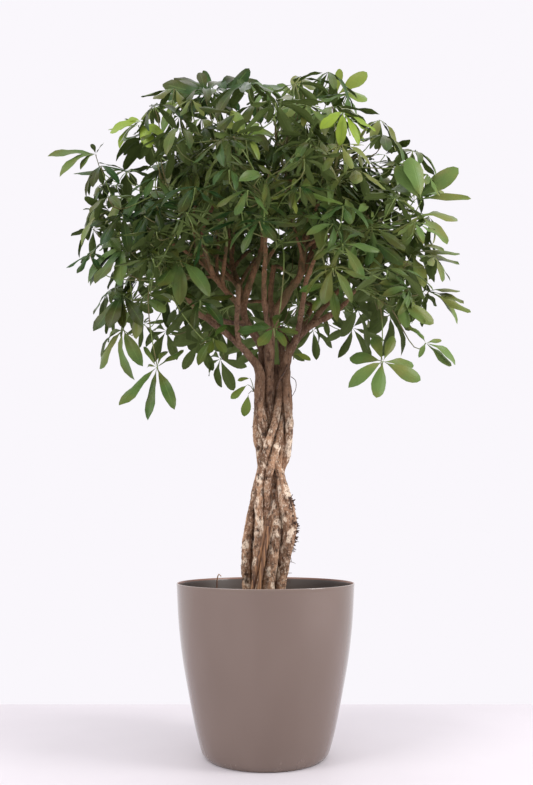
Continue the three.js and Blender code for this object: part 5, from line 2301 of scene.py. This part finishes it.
SPROUTS = (
    Sprout("sprout_left", (-0.027, 0.008, 0.806), (
        ((-0.036, -0.002, 0.836), (-0.066, -0.008, 0.834)),
        ((-0.042, -0.006, 0.82), (-0.084, -0.014, 0.79)),
        ((-0.04, -0.006, 0.798), (-0.046, -0.016, 0.745)),
    ), 0.25),
    Sprout("sprout_right", (0.066, -0.006, 0.88), (
        ((0.066, -0.012, 0.893), (0.108, -0.018, 0.883)),
    ), 0.3),
)


# ---- studio ----


@dataclass(frozen=True)
class Softbox:
    """A rectangular light: where it is, what it looks at, its size and its power."""

    name: str
    place: Triple
    target: Triple
    size: Pair
    power: float

    def build(self) -> None:
        """Hangs the light."""
        lamp = bpy.data.lights.new(self.name, "AREA")
        lamp.shape = "RECTANGLE"
        lamp.size, lamp.size_y = self.size
        lamp.energy = self.power
        holder = bpy.data.objects.new(self.name, lamp)
        aim = Vector(self.target) - Vector(self.place)
        holder.location = self.place
        holder.rotation_euler = aim.to_track_quat("-Z", "Y").to_euler()
        bpy.context.scene.collection.objects.link(holder)


@dataclass
class Studio:
    """The floor, the lights, the sky and the camera."""

    floor_half: float = 3.0
    floor_front: float = 4.8
    floor_back: float = 0.5
    sky: Colour = tone(250, 247, 252)
    sky_strength: float = 1.0
    sight: Sight = SIGHT
    lights: tuple[Softbox, ...] = (
        Softbox("key_window", (-1.9, -1.6, 2.3), (0.0, 0.0, 0.9), (1.3, 1.9), 44.0),
        Softbox("side_window", (2.1, -0.9, 1.6), (0.0, 0.0, 0.8), (0.9, 1.8), 42.0),
        Softbox("top_light", (0.1, 0.4, 3.0), (0.0, 0.0, 0.9), (1.8, 1.8), 6.0),
    )

    def build(self) -> None:
        """Sets the whole studio up."""
        half, front, back = self.floor_half, self.floor_front, self.floor_back
        corners = [(-half, -front, 0), (half, -front, 0), (half, back, 0), (-half, back, 0)]
        mesh = bpy.data.meshes.new("floor")
        mesh.from_pydata(corners, [], [(0, 1, 2, 3)])
        floor = linked("floor", mesh)
        floor.data.materials.append(Finishes.FLOOR.material)
        for light in self.lights:
            light.build()
        world = bpy.data.worlds.new("pale_sky")
        world.use_nodes = True
        tree = Tree(world.node_tree)
        glow = tree.node("ShaderNodeBackground", {"Color": self.sky, "Strength": self.sky_strength})
        tree.node("ShaderNodeOutputWorld", {"Surface": glow})
        bpy.context.scene.world = world
        self.build_camera()

    def build_camera(self) -> None:
        """Places the camera where the photograph was taken from."""
        camera = bpy.data.cameras.new("camera")
        camera.lens = self.sight.lens
        camera.shift_x = self.sight.shift
        holder = bpy.data.objects.new("camera", camera)
        holder.location = self.sight.place
        holder.rotation_euler = (math.radians(90 + self.sight.pitch), 0.0, 0.0)
        bpy.context.scene.collection.objects.link(holder)
        bpy.context.scene.camera = holder
        bpy.context.scene.view_settings.view_transform = "Standard"


# ---- the whole plant ----


def main() -> None:
    """Builds the plant and its studio."""
    logging.basicConfig(level=logging.INFO, format="%(message)s")
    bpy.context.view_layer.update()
    planter = Planter()
    planter.dress(planter.build())
    soil = Soil()
    soil.dress(soil.build_bed())

    crown = Crown()
    crown.plan()
    branchlets: dict[str, list[Cubic]] = {name: [] for name in STEM_ROUTES}
    for name, curve in zip(crown.owners, crown.branchlets):
        branchlets[name].append(curve)
    wood = Wood()
    stems = wood.build_stems(branchlets)
    wood.dress(stems, wood.build_canes(), wood.build_core(), wood.build_roots())
    foliage = Foliage()
    crown.dress(crown.build(foliage))
    for sprout in SPROUTS:
        sprout.build(foliage)
    foliage.clear()
    Studio().build()


if __name__ == "__main__":
    main()
